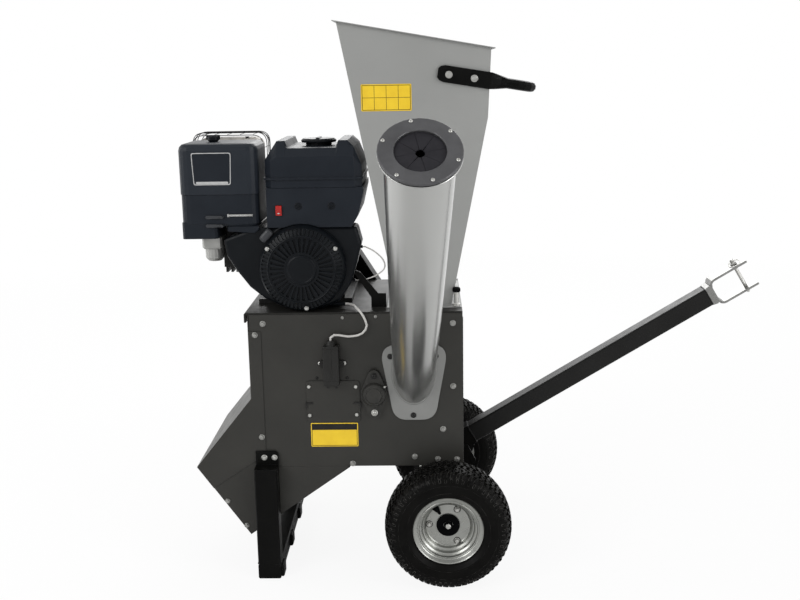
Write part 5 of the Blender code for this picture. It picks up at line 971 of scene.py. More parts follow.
@dataclass
class Wheels:
    """Turf tyres with block tread, and pressed rims with nuts, valve stems and near-black rings of painted
    shade.
    """

    wheel_y: float = 0.286
    wheel_z: float = 0.165
    flange: float = 0.0905
    rim_half: float = 0.047
    sheet: float = 0.0026
    well: float = 0.0620
    disc: float = 0.006
    hub: float = 0.0265
    hub_reach: float = 0.008
    hub_tail: float = 0.036
    bore: float = 0.0103
    axle_end: float = 0.3015
    bolt_gap: float = 0.0001
    tyre_sides: int = 96
    rim_sides: int = 72
    pitches: int = 60
    stagger: float = 0.25
    lug_root: float = 0.0012
    lug_taper: float = 0.80
    lugs: tuple[Lug, ...] = (
        Lug(0.0, ((0.002, 0.0), (0.0105, 0.30), (0.018, 0.05)), 0.27, 0.0056),
        Lug(0.48, ((0.020, 0.0), (0.029, -0.32), (0.0375, 0.0)), 0.26, 0.0052),
        Lug(0.0, ((0.0395, 0.0), (0.047, 0.16), (0.056, 0.20)), 0.28, 0.0034),
        Lug(0.2, ((0.0585, 0.0), (0.068, 0.0)), 0.20, 0.0009))
    wall_rings: tuple[float, float] = (0.1320, 0.1075)
    ring_steps: Profile = ((0.0009, 0.0007), (0.0030, 0.0007), (0.0038, 0.0001))
    bead_seat: Profile = ((0.0911, 0.0446), (0.0796, 0.0366))
    disc_bolt_circle: float = 0.0490
    disc_bolt_angles: tuple[float, ...] = (61.0, 177.0, -62.0)
    stud: Profile = ((0, 0.006), (0.0026, 0.006), (0.0026, 0.0088), (0, 0.0090))
    # Near-black ring round each rim nut: painted shade of the nut's recess.
    nut_seat: Profile = ((0.0070, 0.0), (0.0092, 0.0), (0.0092, 0.0008), (0.0070, 0.0008))
    # Near-black ring over the hub face: painted shade of the hub's hollow, which is not built.
    hub_ring: Profile = ((0.0125, 0.0003), (0.0300, 0.0003), (0.0304, 0.0012), (0.0294, 0.0022),
                         (0.0200, 0.0010), (0.0150, 0.0012), (0.0125, 0.0018))
    valve_angle: float = 122.0
    valve_lean: float = 16.0
    valve_rise: float = 0.0065
    valve_circle: float = 0.0395
    valve: Profile = ((0, 0.0), (0.0038, 0.0), (0.0042, 0.005), (0.0045, 0.0105), (0.0058, 0.0115),
                      (0.0078, 0.0190), (0.0088, 0.0260), (0, 0.0275))
    steps: tuple[tuple[float, float], ...] = (
        (0.0565, 0.0060), (0.0590, 0.0085), (0.0600, 0.0165), (0.0640, 0.0205), (0.0665, 0.0215),
        (0.0680, 0.0300), (0.0722, 0.0335), (0.0740, 0.0335), (0.0755, 0.0400), (0.0775, 0.0408),
        (0.0790, 0.0395), (0.0810, 0.0415), (0.0885, 0.0447), (0.0905, 0.0468))
    rear_steps: tuple[tuple[float, float], ...] = (
        (0.0905, 0.0448), (0.0885, 0.0434), (0.0810, 0.0398), (0.0790, 0.0380), (0.0773, 0.0380),
        (0.0758, 0.0316), (0.0740, 0.0312), (0.0702, 0.0284), (0.0688, 0.0197), (0.0655, 0.0185),
        (0.0622, 0.0148), (0.0614, 0.0070))
    tread: tuple[tuple[float, float], ...] = (
        (0.1588, 0.0), (0.1586, 0.010), (0.1580, 0.020), (0.1566, 0.031), (0.1542, 0.0405), (0.1509, 0.0485),
        (0.1462, 0.0548), (0.1395, 0.0583), (0.1320, 0.0598), (0.1240, 0.0603), (0.1150, 0.0600),
        (0.1075, 0.0590), (0.1000, 0.0565), (0.0945, 0.0530), (0.0912, 0.0485))

    def rim_profile(self) -> list[tuple[float, float]]:
        """Closed profile of the pressed wheel.

        Returns:
            Pairs of radius and height outward.
        """
        seat = self.flange - 0.015
        half, sheet, well, disc = self.rim_half, self.sheet, self.well, self.disc
        lane = [(self.hub, disc), *self.steps]
        back = [*self.rear_steps, (well - 0.0006, disc - 0.002), (well - 0.0006, -disc - 0.012),
                (seat, -disc - 0.024), (seat, -half + 0.009), (self.flange, -half + sheet)]
        tail = [(self.flange, -half), (seat - sheet, -half + 0.008), (seat - sheet, -disc - 0.026),
                (well - sheet, -disc - 0.014), (well - sheet, disc - sheet), (self.hub, disc - sheet)]
        line = soften(lane, 0.0016, 3) + soften(back, 0.0016, 3) + soften(tail, 0.004, 4)
        start = [(self.bore, self.hub_reach), (self.hub - 0.0010, self.hub_reach),
                 (self.hub, self.hub_reach - 0.0008)]
        return start + line + [(self.hub, -self.hub_tail), (self.bore, -self.hub_tail)]

    def tyre_profile(self) -> list[tuple[float, float]]:
        """Closed profile of the tyre's carcass, with two raised rings on each wall.

        Returns:
            Pairs of radius and height outward.
        """
        wall = []
        for radius, height in self.tread[:-1]:
            wall.append((radius, height))
            if radius in self.wall_rings:
                wall += [(radius - drop, height + rise) for drop, rise in self.ring_steps]
        wall += [self.tread[-1], *self.bead_seat]
        return wall + [(r, -h) for r, h in reversed(wall[1:])]

    def tread_point(self, travel: float, lift: float) -> tuple[float, float]:
        """Point over the carcass.

        Args:
            travel: Distance from the crown along the profile.
            lift: Height over the carcass.

        Returns:
            Radius and height outward.
        """
        left = travel
        for (r0, h0), (r1, h1) in zip(self.tread, self.tread[1:]):
            reach = hypot(r1 - r0, h1 - h0)
            if left <= reach:
                share = left / reach
                slope_r, slope_h = (r1 - r0) / reach, (h1 - h0) / reach
                return r0 + (r1 - r0) * share + slope_h * lift, h0 + (h1 - h0) * share - slope_r * lift
            left -= reach
        return self.tread[-1]

    def block(self, form: Form, centre: Vector, axis: Vector, hand: int, spin: float, lug: Lug) -> None:
        """Add one tread block.

        Args:
            form: The mesh that it goes into.
            centre: The wheel's middle.
            axis: The wheel's outward direction.
            hand: 1 for the outer half of the tread, -1 for the inner.
            spin: Angle at which its pitch starts.
            lug: Its sizes, with stations as (distance from the crown, share of the pitch ahead).
        """
        across, upward, forward = basis(axis)
        step = 2 * pi / self.pitches
        start, half = spin + lug.shift * step, lug.half * step
        lanes = [(travel, lead * step) for travel, lead in lug.stations]
        rings = []
        stations = [(lanes[0], 0.0)] + [(lane, 1.0) for lane in lanes] + [(lanes[-1], 0.0)]
        for (travel, lead), raised in stations:
            ring = []
            crest = self.lug_taper if raised else 1.0
            for level, shrink in ((-self.lug_root, 1.0), (lug.lift * raised, crest)):
                radius, height = self.tread_point(travel, level)
                for way in (-1, 1):
                    angle = start + lead + way * half * shrink
                    ring.append(centre + (across * cos(angle) + upward * sin(angle)) * radius
                                + forward * height * hand)
            rings.append([ring[0], ring[1], ring[3], ring[2]])
        form.skin(rings)

    def tyre(self, side: Side) -> None:
        """Tyre of one side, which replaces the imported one.

        Args:
            side: The side of the machine.
        """
        centre = Vector((AXLE_X, side.value * self.wheel_y, self.wheel_z))
        form = Form().lathe(self.tyre_profile(), centre, side.outward, self.tyre_sides, closed=True)
        step = 2 * pi / self.pitches
        for hand in (-1, 1):
            for index in range(self.pitches):
                for lug in self.lugs:
                    spin = index * step + hand * self.stagger * step
                    self.block(form, centre, side.outward, hand, spin, lug)
        made = piece(f"{side.label}_turf_tyre", form, TYRE_RUBBER, f"{side.label}_wheel", sharp=42.0)
        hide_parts(f"{side.label}_tyre")

    def rim(self, side: Side) -> None:
        """Rim of one side with its nuts, valve stem, centre bolt and near-black rings of painted shade.

        Args:
            side: The side of the machine.
        """
        body = f"{side.label}_wheel"
        centre = Vector((AXLE_X, side.value * self.wheel_y, self.wheel_z))
        out = side.outward
        form = Form().lathe(self.rim_profile(), centre, out, self.rim_sides, closed=True)
        made = piece(f"{side.label}_pressed_rim", form, RIM_ZINC, body, sharp=50.0)
        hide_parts(f"{side.label}_rim")
        # The near-black rings round the nuts are painted shade of their recesses.
        nuts, shade_rings = Form(), Form()
        for angle in self.disc_bolt_angles:
            at = centre + out * self.disc + self.spoke(angle) * self.disc_bolt_circle
            nuts.bolt(at, out, RIM_NUT, angle)
            nuts.lathe(self.stud, at, out, 12)
            shade_rings.lathe(self.nut_seat, at, out, 24, True)
        piece(f"{side.label}_rim_nuts", nuts, ZINC_PLATE, body)
        piece(f"{side.label}_nut_seats", shade_rings, FAN_BLACK, body)
        # Near-black ring over the hub: painted shade of the hollow round the axle bolt.
        ring = Form().lathe(self.hub_ring, centre + out * self.hub_reach, out, 48, closed=True)
        piece(f"{side.label}_hub_ring", ring, FAN_BLACK, body)
        spoke = self.spoke(self.valve_angle)
        base = centre + out * (self.disc + self.valve_rise) + spoke * self.valve_circle
        lean = (spoke + out * tan(radians(self.valve_lean))).normalized()
        stem = Form().lathe(self.valve, base, lean, 18)
        piece(f"{side.label}_valve_stem", stem, FAN_BLACK, body)
        end = Vector((AXLE_X, side.value * (self.axle_end + self.bolt_gap), self.wheel_z))
        piece(f"{side.label}_axle_bolt", Form().bolt(end, out, AXLE_BOLT, 15), ZINC_PLATE, "machine")

    def spoke(self, angle: float) -> Vector:
        """Direction from the hub at an angle in degrees, in the plane of the wheel."""
        turn = radians(angle)
        return Vector((cos(turn), 0, sin(turn)))

    def dress(self) -> None:
        """Dress both wheels and the axle."""
        for side in Side:
            self.tyre(side)
            self.rim(side)
        coat(FAN_BLACK, "axle")
        coat(BLACK_PAINT, "axle_bracket")


@dataclass
class Plates:
    """Bare yellow plate with dark lines, as on the housing and on the hopper."""

    thickness: float = 0.0006
    corner: float = 0.003
    border: float = 0.0030
    line: float = 0.0012
    header_share: float = 0.27

    def plate(self, name: str, centre: Vector, axis: Vector, width: float, height: float,
              header: bool) -> None:
        """Add one plate with its border line and, if asked for, its dark header band.

        Args:
            name: Name of the piece.
            centre: Its middle, on the face that it lies on.
            axis: Direction out of the face.
            width: Its width.
            height: Its height.
            header: True for a dark band along the top.
        """
        form = Form().prism(rectangle(width, height, self.corner), centre, axis, 0.0, self.thickness)
        piece(name, form, PLATE_YELLOW)
        across, upward = basis(axis)[:2]
        inner_w, inner_h = width - 2 * self.border, height - 2 * self.border
        trim = Form()
        for sign in (-1, 1):
            trim.prism(rectangle(inner_w, self.line), centre + upward * sign * inner_h / 2, axis,
                       self.thickness * 0.5, self.thickness * 1.5)
            trim.prism(rectangle(self.line, inner_h), centre + across * sign * inner_w / 2, axis,
                       self.thickness * 0.5, self.thickness * 1.45)
        if header:
            band = inner_h * self.header_share
            trim.prism(rectangle(inner_w, band), centre + upward * (inner_h - band) / 2, axis,
                       self.thickness * 0.5, self.thickness * 1.4)
        else:
            for share in (-0.25, 0.0, 0.25):
                trim.prism(rectangle(self.line * 0.8, inner_h), centre + across * share * inner_w, axis,
                           self.thickness * 0.5, self.thickness * 1.4)
            trim.prism(rectangle(inner_w, self.line * 0.8), centre, axis,
                       self.thickness * 0.5, self.thickness * 1.35)
        piece(name + "_lines", trim, PLATE_DARK)


@dataclass
class Housing:
    """Rotor housing with its wall bolts, access cover, interlock box, bearings, plate and seams."""

    wall: float = 0.2141
    strip: float = 0.2167
    cover: float = 0.2174
    ear: float = 0.2177
    wall_bolts: tuple[tuple[float, float], ...] = (
        (-0.472, 0.687), (0.017, 0.684), (0.017, 0.516), (-0.010, 0.399), (-0.085, 0.323), (-0.024, 0.316),
        (0.026, 0.315), (-0.249, 0.305))
    strip_bolts: tuple[tuple[float, float], ...] = ((-0.493, 0.658), (-0.487, 0.381))
    top_bolts: tuple[tuple[float, float], ...] = ((-0.266, 0.701), (-0.181, 0.703))
    cover_bolts: tuple[tuple[float, float], ...] = (
        (-0.358, 0.519), (-0.236, 0.518), (-0.358, 0.441), (-0.235, 0.442))
    hooks: tuple[tuple[float, int], ...] = ((-0.3585, -1), (-0.2325, 1))
    hook_z: float = 0.4735
    hook_tip: tuple[float, float] = (0.0075, 0.4675)
    key_spots: tuple[tuple[float, float], ...] = ((-0.3085, 0.5175), (-0.2855, 0.5175))
    key_screws: tuple[tuple[float, float], ...] = ((-0.337, 0.5405), (-0.258, 0.5405))
    rivets: tuple[tuple[float, float], ...] = ((-0.327, 0.581), (-0.264, 0.581))
    rivet_size: tuple[float, float] = (0.0056, 0.0024)
    ridges: tuple[tuple[Point, Point], ...] = (
        ((-0.3165, -0.2449, 0.5385), (-0.2765, -0.2442, 0.5400)),
        ((-0.3165, -0.2449, 0.6245), (-0.2765, -0.2442, 0.6260)),
        ((-0.2985, -0.2450, 0.5445), (-0.2945, -0.2442, 0.6200)))
    bearing_x: float = -0.188
    bearing_z: float = 0.499
    bearing_bolt: float = 0.0495
    bearing_face: float = 0.2274
    nipple: Profile = ((0, 0), (0.0030, 0), (0.0030, 0.003), (0.0018, 0.0038), (0.0022, 0.0062),
                       (0.0012, 0.0076), (0, 0.0076))
    nipple_shift: tuple[float, float] = (0.0262, 0.0205)
    nipple_face: float = 0.2330
    plate_at: tuple[float, float] = (-0.295, 0.3855)
    plate_size: tuple[float, float] = (0.124, 0.065)
    seam_x: float = 0.0424
    seam_y: float = 0.2105
    seam_ends: tuple[float, float] = (0.304, 0.700)
    seam_radius: float = 0.0013
    guard_box: tuple[float, float, float, float] = (-0.46, -0.07, 0.385, 0.92)

    def behind_guard(self, x: float, z: float) -> bool:
        """True if a place on the far wall lies behind the belt guard."""
        left, right, low, high = self.guard_box
        return left < x < right and low < z < high

    def bolts(self, side: Side) -> None:
        """Bolts of one wall, apart from those that the belt guard would hide.

        Args:
            side: The side of the machine.
        """
        out = side.outward
        form = Form()
        for index, (x, z) in enumerate(self.wall_bolts):
            if side is Side.FAR and self.behind_guard(x, z):
                continue
            form.bolt(spot(x, side.value * self.wall, z), out, WALL_BOLT, index * 23.0)
        for index, (x, z) in enumerate(self.strip_bolts):
            form.bolt(spot(x, side.value * self.strip, z), out, STRIP_BOLT, index * 31.0)
        if side is Side.NEAR:
            for x, z in self.top_bolts:
                form.socket_screw(spot(x, -self.wall, z), out, BED_SCREW)
        piece(f"{side.label}_wall_bolts", form, BOLT_DULL)

    def cover_fittings(self) -> None:
        """Access cover's bolts and hooks, the interlock's key and screws, and the box's rivets."""
        bolts = Form()
        for index, (x, z) in enumerate(self.cover_bolts):
            bolts.bolt(spot(x, -self.cover, z), TOWARDS, COVER_BOLT, index * 17.0)
        piece("cover_bolts", bolts, ZINC_PLATE)
        hooks = Form()
        shift, tip_z = self.hook_tip
        for x, sign in self.hooks:
            hooks.prism(rectangle(0.020, 0.004, 0.001), spot(x, -self.cover, self.hook_z), TOWARDS,
                        0.0, 0.0030)
            hooks.prism(rectangle(0.0044, 0.016, 0.001), spot(x + sign * shift, -self.cover, tip_z),
                        TOWARDS, 0.0, 0.0036)
        piece("cover_hooks", hooks, BOLT_BLACK, bevel=0.0004)
        spots = Form()
        for x, z in self.key_spots:
            spots.prism(rectangle(0.0045, 0.0075, 0.001), spot(x, -self.cover, z), TOWARDS, 0.0, 0.0028)
        for x, z in self.key_screws:
            spots.socket_screw(spot(x, -self.wall, z), TOWARDS, KEY_SCREW)
        piece("interlock_key", spots, BOLT_BLACK, bevel=0.0003)
        studs = Form()
        for x, z in self.rivets:
            studs.rivet(spot(x, -self.ear, z), TOWARDS, *self.rivet_size)
        piece("box_rivets", studs, ZINC_PLATE)

    def box_lines(self) -> None:
        """Three moulded ridges on the interlock box."""
        form = Form()
        for low, high in self.ridges:
            form.block(spot(*low), spot(*high))
        piece("box_ridges", form, BOX_PLASTIC, bevel=0.0003)

    def bearings(self, side: Side) -> None:
        """Bolts and grease nipple of one bearing.

        Args:
            side: The side of the machine.
        """
        out = side.outward
        lower = BOLT_BLACK if side is Side.FAR else ZINC_PLATE
        for sign, finish, label in ((1, BOLT_BLACK, "upper"), (-1, lower, "lower")):
            at = spot(self.bearing_x, side.value * self.bearing_face,
                      self.bearing_z + sign * self.bearing_bolt)
            bolt = Form().socket_screw(at, out, BEARING_SCREW)
            piece(f"{side.label}_bearing_bolt_{label}", bolt, finish)
        right, up = self.nipple_shift
        at = spot(self.bearing_x + right, side.value * self.nipple_face, self.bearing_z + up)
        nipple = Form().lathe(self.nipple, at, Vector((0.6, side.value * 0.6, 0.5)), 10)
        piece(f"{side.label}_grease_nipple", nipple, ZINC_PLATE)

    def dress(self) -> None:
        """Dress the housing."""
        coat(HOUSING_PAINT, "housing_near_side", "housing_far_side", "housing_wrap", "access_cover",
             "discharge_hood", "discharge_chute")
        coat(BED_PAINT, "engine_bed")
        coat(CAST_HOUSING, "near_bearing", "far_bearing")
        coat(BOX_PLASTIC, "switch_box")
        for side in Side:
            self.bolts(side)
            self.bearings(side)
        self.cover_fittings()
        self.box_lines()
        x, z = self.plate_at
        Plates().plate("housing_plate", spot(x, -self.wall, z), TOWARDS, *self.plate_size, True)
        seams = Form()
        low, high = self.seam_ends
        for side in Side:
            y = side.value * self.seam_y
            seams.bead(spot(self.seam_x, y, low), spot(self.seam_x, y, high), self.seam_radius)
        piece("housing_seams", seams, HOUSING_PAINT)


@dataclass
class Discharge:
    """Bolts of the chute's cheeks."""

    cheek: float = 0.2141
    cheek_bolts: tuple[tuple[float, float], ...] = ((-0.587, 0.201), (-0.539, 0.131))

    def dress(self) -> None:
        """Dress the chute."""
        bolts = Form()
        for side in Side:
            for index, (x, z) in enumerate(self.cheek_bolts):
                bolts.bolt(spot(x, side.value * self.cheek, z), side.outward, CHUTE_BOLT, index * 20.0)
        piece("chute_bolts", bolts, BOLT_DULL)


@dataclass
class Rotor:
    """Rotor disc, knives, shaft, pulleys and belt, with the bolts of the rotor's pulley."""

    shaft_x: float = -0.188
    shaft_z: float = 0.499
    pulley_face: float = 0.2792
    pulley_circle: float = 0.030
    pulley_bolts: tuple[float, ...] = (0.0, 90.0, 180.0, 270.0)

    def dress(self) -> None:
        """Finish the rotor and its drive."""
        coat(BARE_STEEL, "rotor_disc", "rotor_shaft", "chipping_knife_a", "chipping_knife_b", "anvil",
             "rotor_scroll", "crank_stub", "clutch_pulley")
        coat(CAST_HOUSING, "rotor_pulley")
        coat(BELT_RUBBER, "drive_belt")
        bolts = Form()
        for angle in self.pulley_bolts:
            turn = radians(angle + 45)
            at = spot(self.shaft_x + self.pulley_circle * cos(turn), self.pulley_face,
                      self.shaft_z + self.pulley_circle * sin(turn))
            bolts.bolt(at, AWAY, PULLEY_BOLT, angle)
        piece("rotor_pulley_bolts", bolts, BOLT_BLACK, "rotor")


@dataclass
class Feed:
    """Branch tube, its mouth ring with screws, the slit flap and the wall foot."""

    origin: Point = (-0.0838, -0.214, 0.5562)
    axis: Point = (0.0315, -0.7064, 0.7071)
    screw_circle: float = 0.0755
    screw_angles: tuple[float, ...] = (102.0, 38.0, -20.0, -74.0, -128.0, 160.0)
    petals: int = 8
    foot_bolts: tuple[tuple[float, float], ...] = ((-0.1450, 0.598), (-0.0275, 0.598), (-0.087, 0.439))
    foot_face: float = 0.2184
    wall_face: float = 0.2143
    tube_radius: float = 0.0635
    bore_radius: float = 0.0605
    flange_radius: float = 0.083
    flange_width: float = 0.004
    flange_edge: float = 0.0008
    throat: float = 0.002
    foot_sink: float = 0.001
    foot_mesh: float = 0.006
    weld_radius: float = 0.0028
    weld_steps: int = 64
    weld_out: float = 0.0005
    flap_radii: tuple[float, ...] = (0.0095, 0.014, 0.024, 0.034, 0.044, 0.0505, 0.060, 0.0806)
    flap_turn: float = 11.0
    slit_half: float = 0.0003
    slit_end: float = 0.0505
    slit_lap: float = 0.0002
    dip: float = 0.0045
    dip_reach: float = 0.046
    foot_top: tuple[float, float] = (0.0725, 0.180)
    foot_bottom: tuple[float, float] = (-0.130, 0.106)
    foot_corner: float = 0.026
    sides: int = 96
    lanes: int = 26
    narrowing: tuple[tuple[float, float], ...] = (
        (-0.080, 0.0560), (0.030, 0.0566), (0.143, 0.0582), (0.268, 0.0612), (0.384, 0.0632),
        (0.504, 0.0655), (0.716, 0.0692), (0.860, 0.0713))

    def half_width(self, travel: float) -> float:
        """Half of the tube's width.

        Args:
            travel: Distance from the housing's wall along the tube's axis.

        Returns:
            The half width.
        """
        for (t0, w0), (t1, w1) in zip(self.narrowing, self.narrowing[1:]):
            if travel <= t1:
                return w0 + (w1 - w0) * max(0.0, travel - t0) / (t1 - t0)
        return self.narrowing[-1][1]

    def wall(self, travel: float, angle: float, inward: float = 0.0) -> Vector:
        """Point on the tube's wall.

        Args:
            travel: Distance from the housing's wall along the tube's axis.
            angle: Angle round the axis, in radians.
            inward: Distance inside the tube's outer face.

        Returns:
            The point in the row frame.
        """
        across, upward, forward = basis(self.axis)
        wide, deep = self.half_width(travel) - inward, self.tube_radius - inward
        return (spot(*self.origin) + forward * travel + across * (cos(angle) * wide)
                + upward * (sin(angle) * deep))

    def meet(self, y: float, angle: float, inward: float = 0.0) -> float:
        """Distance from the wall at which a line along the tube crosses a plane across Y.

        Args:
            y: Sideways place of the plane.
            angle: Angle of the line round the axis, in radians.
            inward: Distance inside the tube's outer face.

        Returns:
            The distance along the tube's axis.
        """
        forward = basis(self.axis)[2]
        travel = 0.0
        for _ in range(8):
            travel += (y - self.wall(travel, angle, inward).y) / forward.y
        return travel

    def angles(self) -> list[float]:
        """Angles of the tube's lines round its axis, in radians."""
        return [2 * pi * step / self.sides for step in range(self.sides)]

    def tube(self) -> bpy.types.Object:
        """Smooth branch tube with its mouth flange.

        Returns:
            The piece.
        """
        across, upward, forward = basis(self.axis)
        high = self.reach("feed_tube")[1]
        start = spot(*self.origin)
        angles = self.angles()
        low = high - self.flange_width
        sheet, edge = self.tube_radius - self.bore_radius, self.flange_edge
        feet = [self.meet(-self.foot_face + self.foot_sink, angle) for angle in angles]
        rings = []
        for lane in range(self.lanes + 1):
            share = lane / self.lanes
            rings.append([self.wall(foot + (low - self.throat - foot) * share, angle)
                          for foot, angle in zip(feet, angles)])
        rims = ((self.half_width(low) + self.throat, low), (self.flange_radius - edge, low),
                (self.flange_radius, low + edge), (self.flange_radius, high - edge),
                (self.flange_radius - edge, high), (self.bore_radius, high))
        for radius, travel in rims:
            rings.append([start + forward * travel + (across * cos(a) + upward * sin(a)) * radius
                          for a in angles])
        rings.append([self.wall(low - self.throat, angle, sheet) for angle in angles])
        rings.append([self.wall(self.meet(-self.wall_face, angle, sheet), angle, sheet) for angle in angles])
        return piece("branch_tube", Form().skin(rings, closed=True), TUBE_PAINT)

    def foot(self) -> bpy.types.Object:
        """Foot plate that is cut out round the tube.

        Returns:
            The piece.
        """
        start, sink = spot(*self.origin), self.foot_sink
        angles = self.angles()
        (top, top_width), (bottom, bottom_width) = self.foot_top, self.foot_bottom
        corners = [(-bottom_width / 2, bottom), (bottom_width / 2, bottom), (top_width / 2, top),
                   (-top_width / 2, top)]
        outline = soften(corners, self.foot_corner * 1.6, 10, True)
        fine: list[tuple[float, float]] = []
        for (u0, v0), (u1, v1) in zip(outline, outline[1:] + outline[:1]):
            parts = max(1, ceil(hypot(u1 - u0, v1 - v0) / self.foot_mesh))
            fine += [(u0 + (u1 - u0) * k / parts, v0 + (v1 - v0) * k / parts) for k in range(parts)]
        rings = []
        for y, inner in ((-self.wall_face, False), (-self.foot_face + 0.0001, False),
                         (-self.foot_face + 0.0001, True), (-self.wall_face, True)):
            if not inner:
                rings.append([Vector((start.x + u, y, start.z + v)) for u, v in fine])
                continue
            hole = [self.wall(self.meet(y, angle, sink), angle, sink) for angle in angles]
            middle = sum(hole, Vector()) / len(hole)
            ring = []
            for u, v in fine:
                turn = atan2(start.z + v - middle.z, start.x + u - middle.x)
                ring.append(min(hole, key=lambda p: abs((atan2(p.z - middle.z, p.x - middle.x) - turn + pi)
                                                        % (2 * pi) - pi)).copy())
            rings.append(ring)
        return piece("tube_foot", Form().skin(rings, closed=True), FOOT_PAINT,
                     bevel=0.0012)

    def reach(self, node: str) -> tuple[float, float]:
        """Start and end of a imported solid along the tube's axis.

        Args:
            node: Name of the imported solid.

        Returns:
            The two distances from the wall.
        """
        start, along = spot(*self.origin), Vector(self.axis).normalized()
        travel = [(vertex.co - start).dot(along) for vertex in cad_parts[node].data.vertices]
        return min(travel), max(travel)

    def flap(self) -> None:
        """Rubber flap of eight petals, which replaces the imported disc."""
        along = Vector(self.axis).normalized()
        low, high = self.reach("feed_flap")
        across, upward, forward = basis(along)
        middle = spot(*self.origin)
        form = Form()
        step = 2 * pi / self.petals
        for index in range(self.petals):
            start = index * step + radians(self.flap_turn)
            rings = []
            for radius in self.flap_radii:
                slit = self.slit_half / radius if radius < self.slit_end else -self.slit_lap
                sag = max(0.0, 1 - radius / self.dip_reach) ** 1.6
                dip = self.dip * sag * (0.75 + 0.25 * cos(index * 2.4))
                edge = []
                for corner in range(5):
                    angle = start + slit + (step - 2 * slit) * corner / 4
                    curl = dip * (1 + 0.35 * abs(corner - 2) / 2)
                    edge.append(middle + (across * cos(angle) + upward * sin(angle)) * radius
                                + forward * (high - 0.0001 - curl))
                drop = forward * (high - low - 0.0004)
                rings.append(edge + [point - drop for point in reversed(edge)])
            form.skin(rings)
        made = piece("petal_flap", form, FLAP_RUBBER)
        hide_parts("feed_flap")

    def dress(self) -> None:
        """Build the tube and its foot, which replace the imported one, and dress them."""
        for made in (self.tube(), self.foot()):
            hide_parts("feed_tube")
        coat(RING_PAINT, "feed_ring")
        self.flap()
        along = Vector(self.axis).normalized()
        across, upward = basis(along)[:2]
        high = self.reach("feed_ring")[1]
        centre = spot(*self.origin) + along * (high + 0.00005)
        screws = Form()
        for angle in self.screw_angles:
            turn = radians(angle)
            at = centre + (across * cos(turn) + upward * sin(turn)) * self.screw_circle
            screws.socket_screw(at, along, RING_SCREW)
        piece("ring_screws", screws, ZINC_PLATE)
        bolts = Form()
        for x, z in self.foot_bolts:
            bolts.socket_screw(spot(x, -self.foot_face, z), TOWARDS, FOOT_SCREW)
        piece("foot_bolts", bolts, BOLT_BLACK)
        steps, out = range(self.weld_steps), -self.weld_out
        turns = [2 * pi * step / self.weld_steps for step in steps]
        line = [self.wall(self.meet(-self.foot_face, angle, out), angle, out) for angle in turns]
        sizes = [self.weld_radius * (0.9 + 0.12 * cos(step * 2.3)) for step in steps]
        piece("tube_weld", Form().tube(line, sizes, 8, closed=True), FOOT_PAINT)


@dataclass
class Hopper:
    """Tapered hopper with its bolts, base knob, bare plate and handle bar."""

    base: float = 0.7156
    base_half: float = 0.148
    rim_half: float = 0.205
    height: float = 0.7225
    handle_bolts: tuple[tuple[float, float], ...] = ((0.011, 1.306), (0.073, 1.296))
    flange_bolts: tuple[float, ...] = (-0.135, -0.055, 0.025)
    handle_face: float = 0.2177
    flange_y: float = 0.1650
    flange_lift: float = 0.0034
    plate_x: float = -0.1435
    plate_z: float = 1.253
    plate_gap: float = 0.0003
    plate_size: tuple[float, float] = (0.125, 0.066)
    base_bolt: Point = (0.503, -0.161, 0.7659)
    knob: Profile = ((0.0, -0.0115), (0.0088, -0.0115), (0.0104, -0.0098), (0.0106, -0.0040),
                     (0.0092, -0.0002), (0.0060, 0.0012), (0.0, 0.0014))
    weld_y: float = 0.1490
    weld_lift: float = 0.004
    weld_spans: tuple[tuple[float, float], ...] = ((-0.148, -0.128), (0.036, 0.016))
    weld_radius: float = 0.0018

    def half(self, z: float) -> float:
        """Half width of the hopper at a height."""
        return self.base_half + (self.rim_half - self.base_half) * (z - self.base) / self.height

    def dress(self) -> None:
        """Dress the hopper and its handle."""
        coat(HOPPER_PAINT, "hopper")
        coat(ZINC_PLATE, "hopper_base_bolt")
        coat(BLACK_PAINT, "hopper_handle")
        slope = atan2(self.rim_half - self.base_half, self.height)
        normal = Vector((0, -cos(slope), -sin(slope)))
        middle = spot(self.plate_x, -self.half(self.plate_z) - self.plate_gap, self.plate_z)
        Plates(thickness=0.0005).plate("hopper_plate", middle, normal, *self.plate_size, False)
        bolts = Form()
        for side in Side:
            for x, z in self.handle_bolts:
                bolts.bolt(spot(x, side.value * self.handle_face, z), side.outward, HANDLE_BOLT, 10.0)
            for index, x in enumerate(self.flange_bolts):
                at = spot(x, side.value * self.flange_y, self.base + self.flange_lift)
                bolts.bolt(at, UP, FLANGE_BOLT, index * 25.0)
        piece("handle_bolts", bolts, ZINC_PLATE)
        piece("base_bolt_knob", Form().lathe(self.knob, self.base_bolt, UP, 24), FAN_BLACK)
        seams = Form()
        for side in Side:
            y, z = side.value * self.weld_y, self.base + self.weld_lift
            for start, end in self.weld_spans:
                seams.bead(spot(start, y, z), spot(end, y, z), self.weld_radius)
        piece("hopper_welds", seams, HOPPER_PAINT)


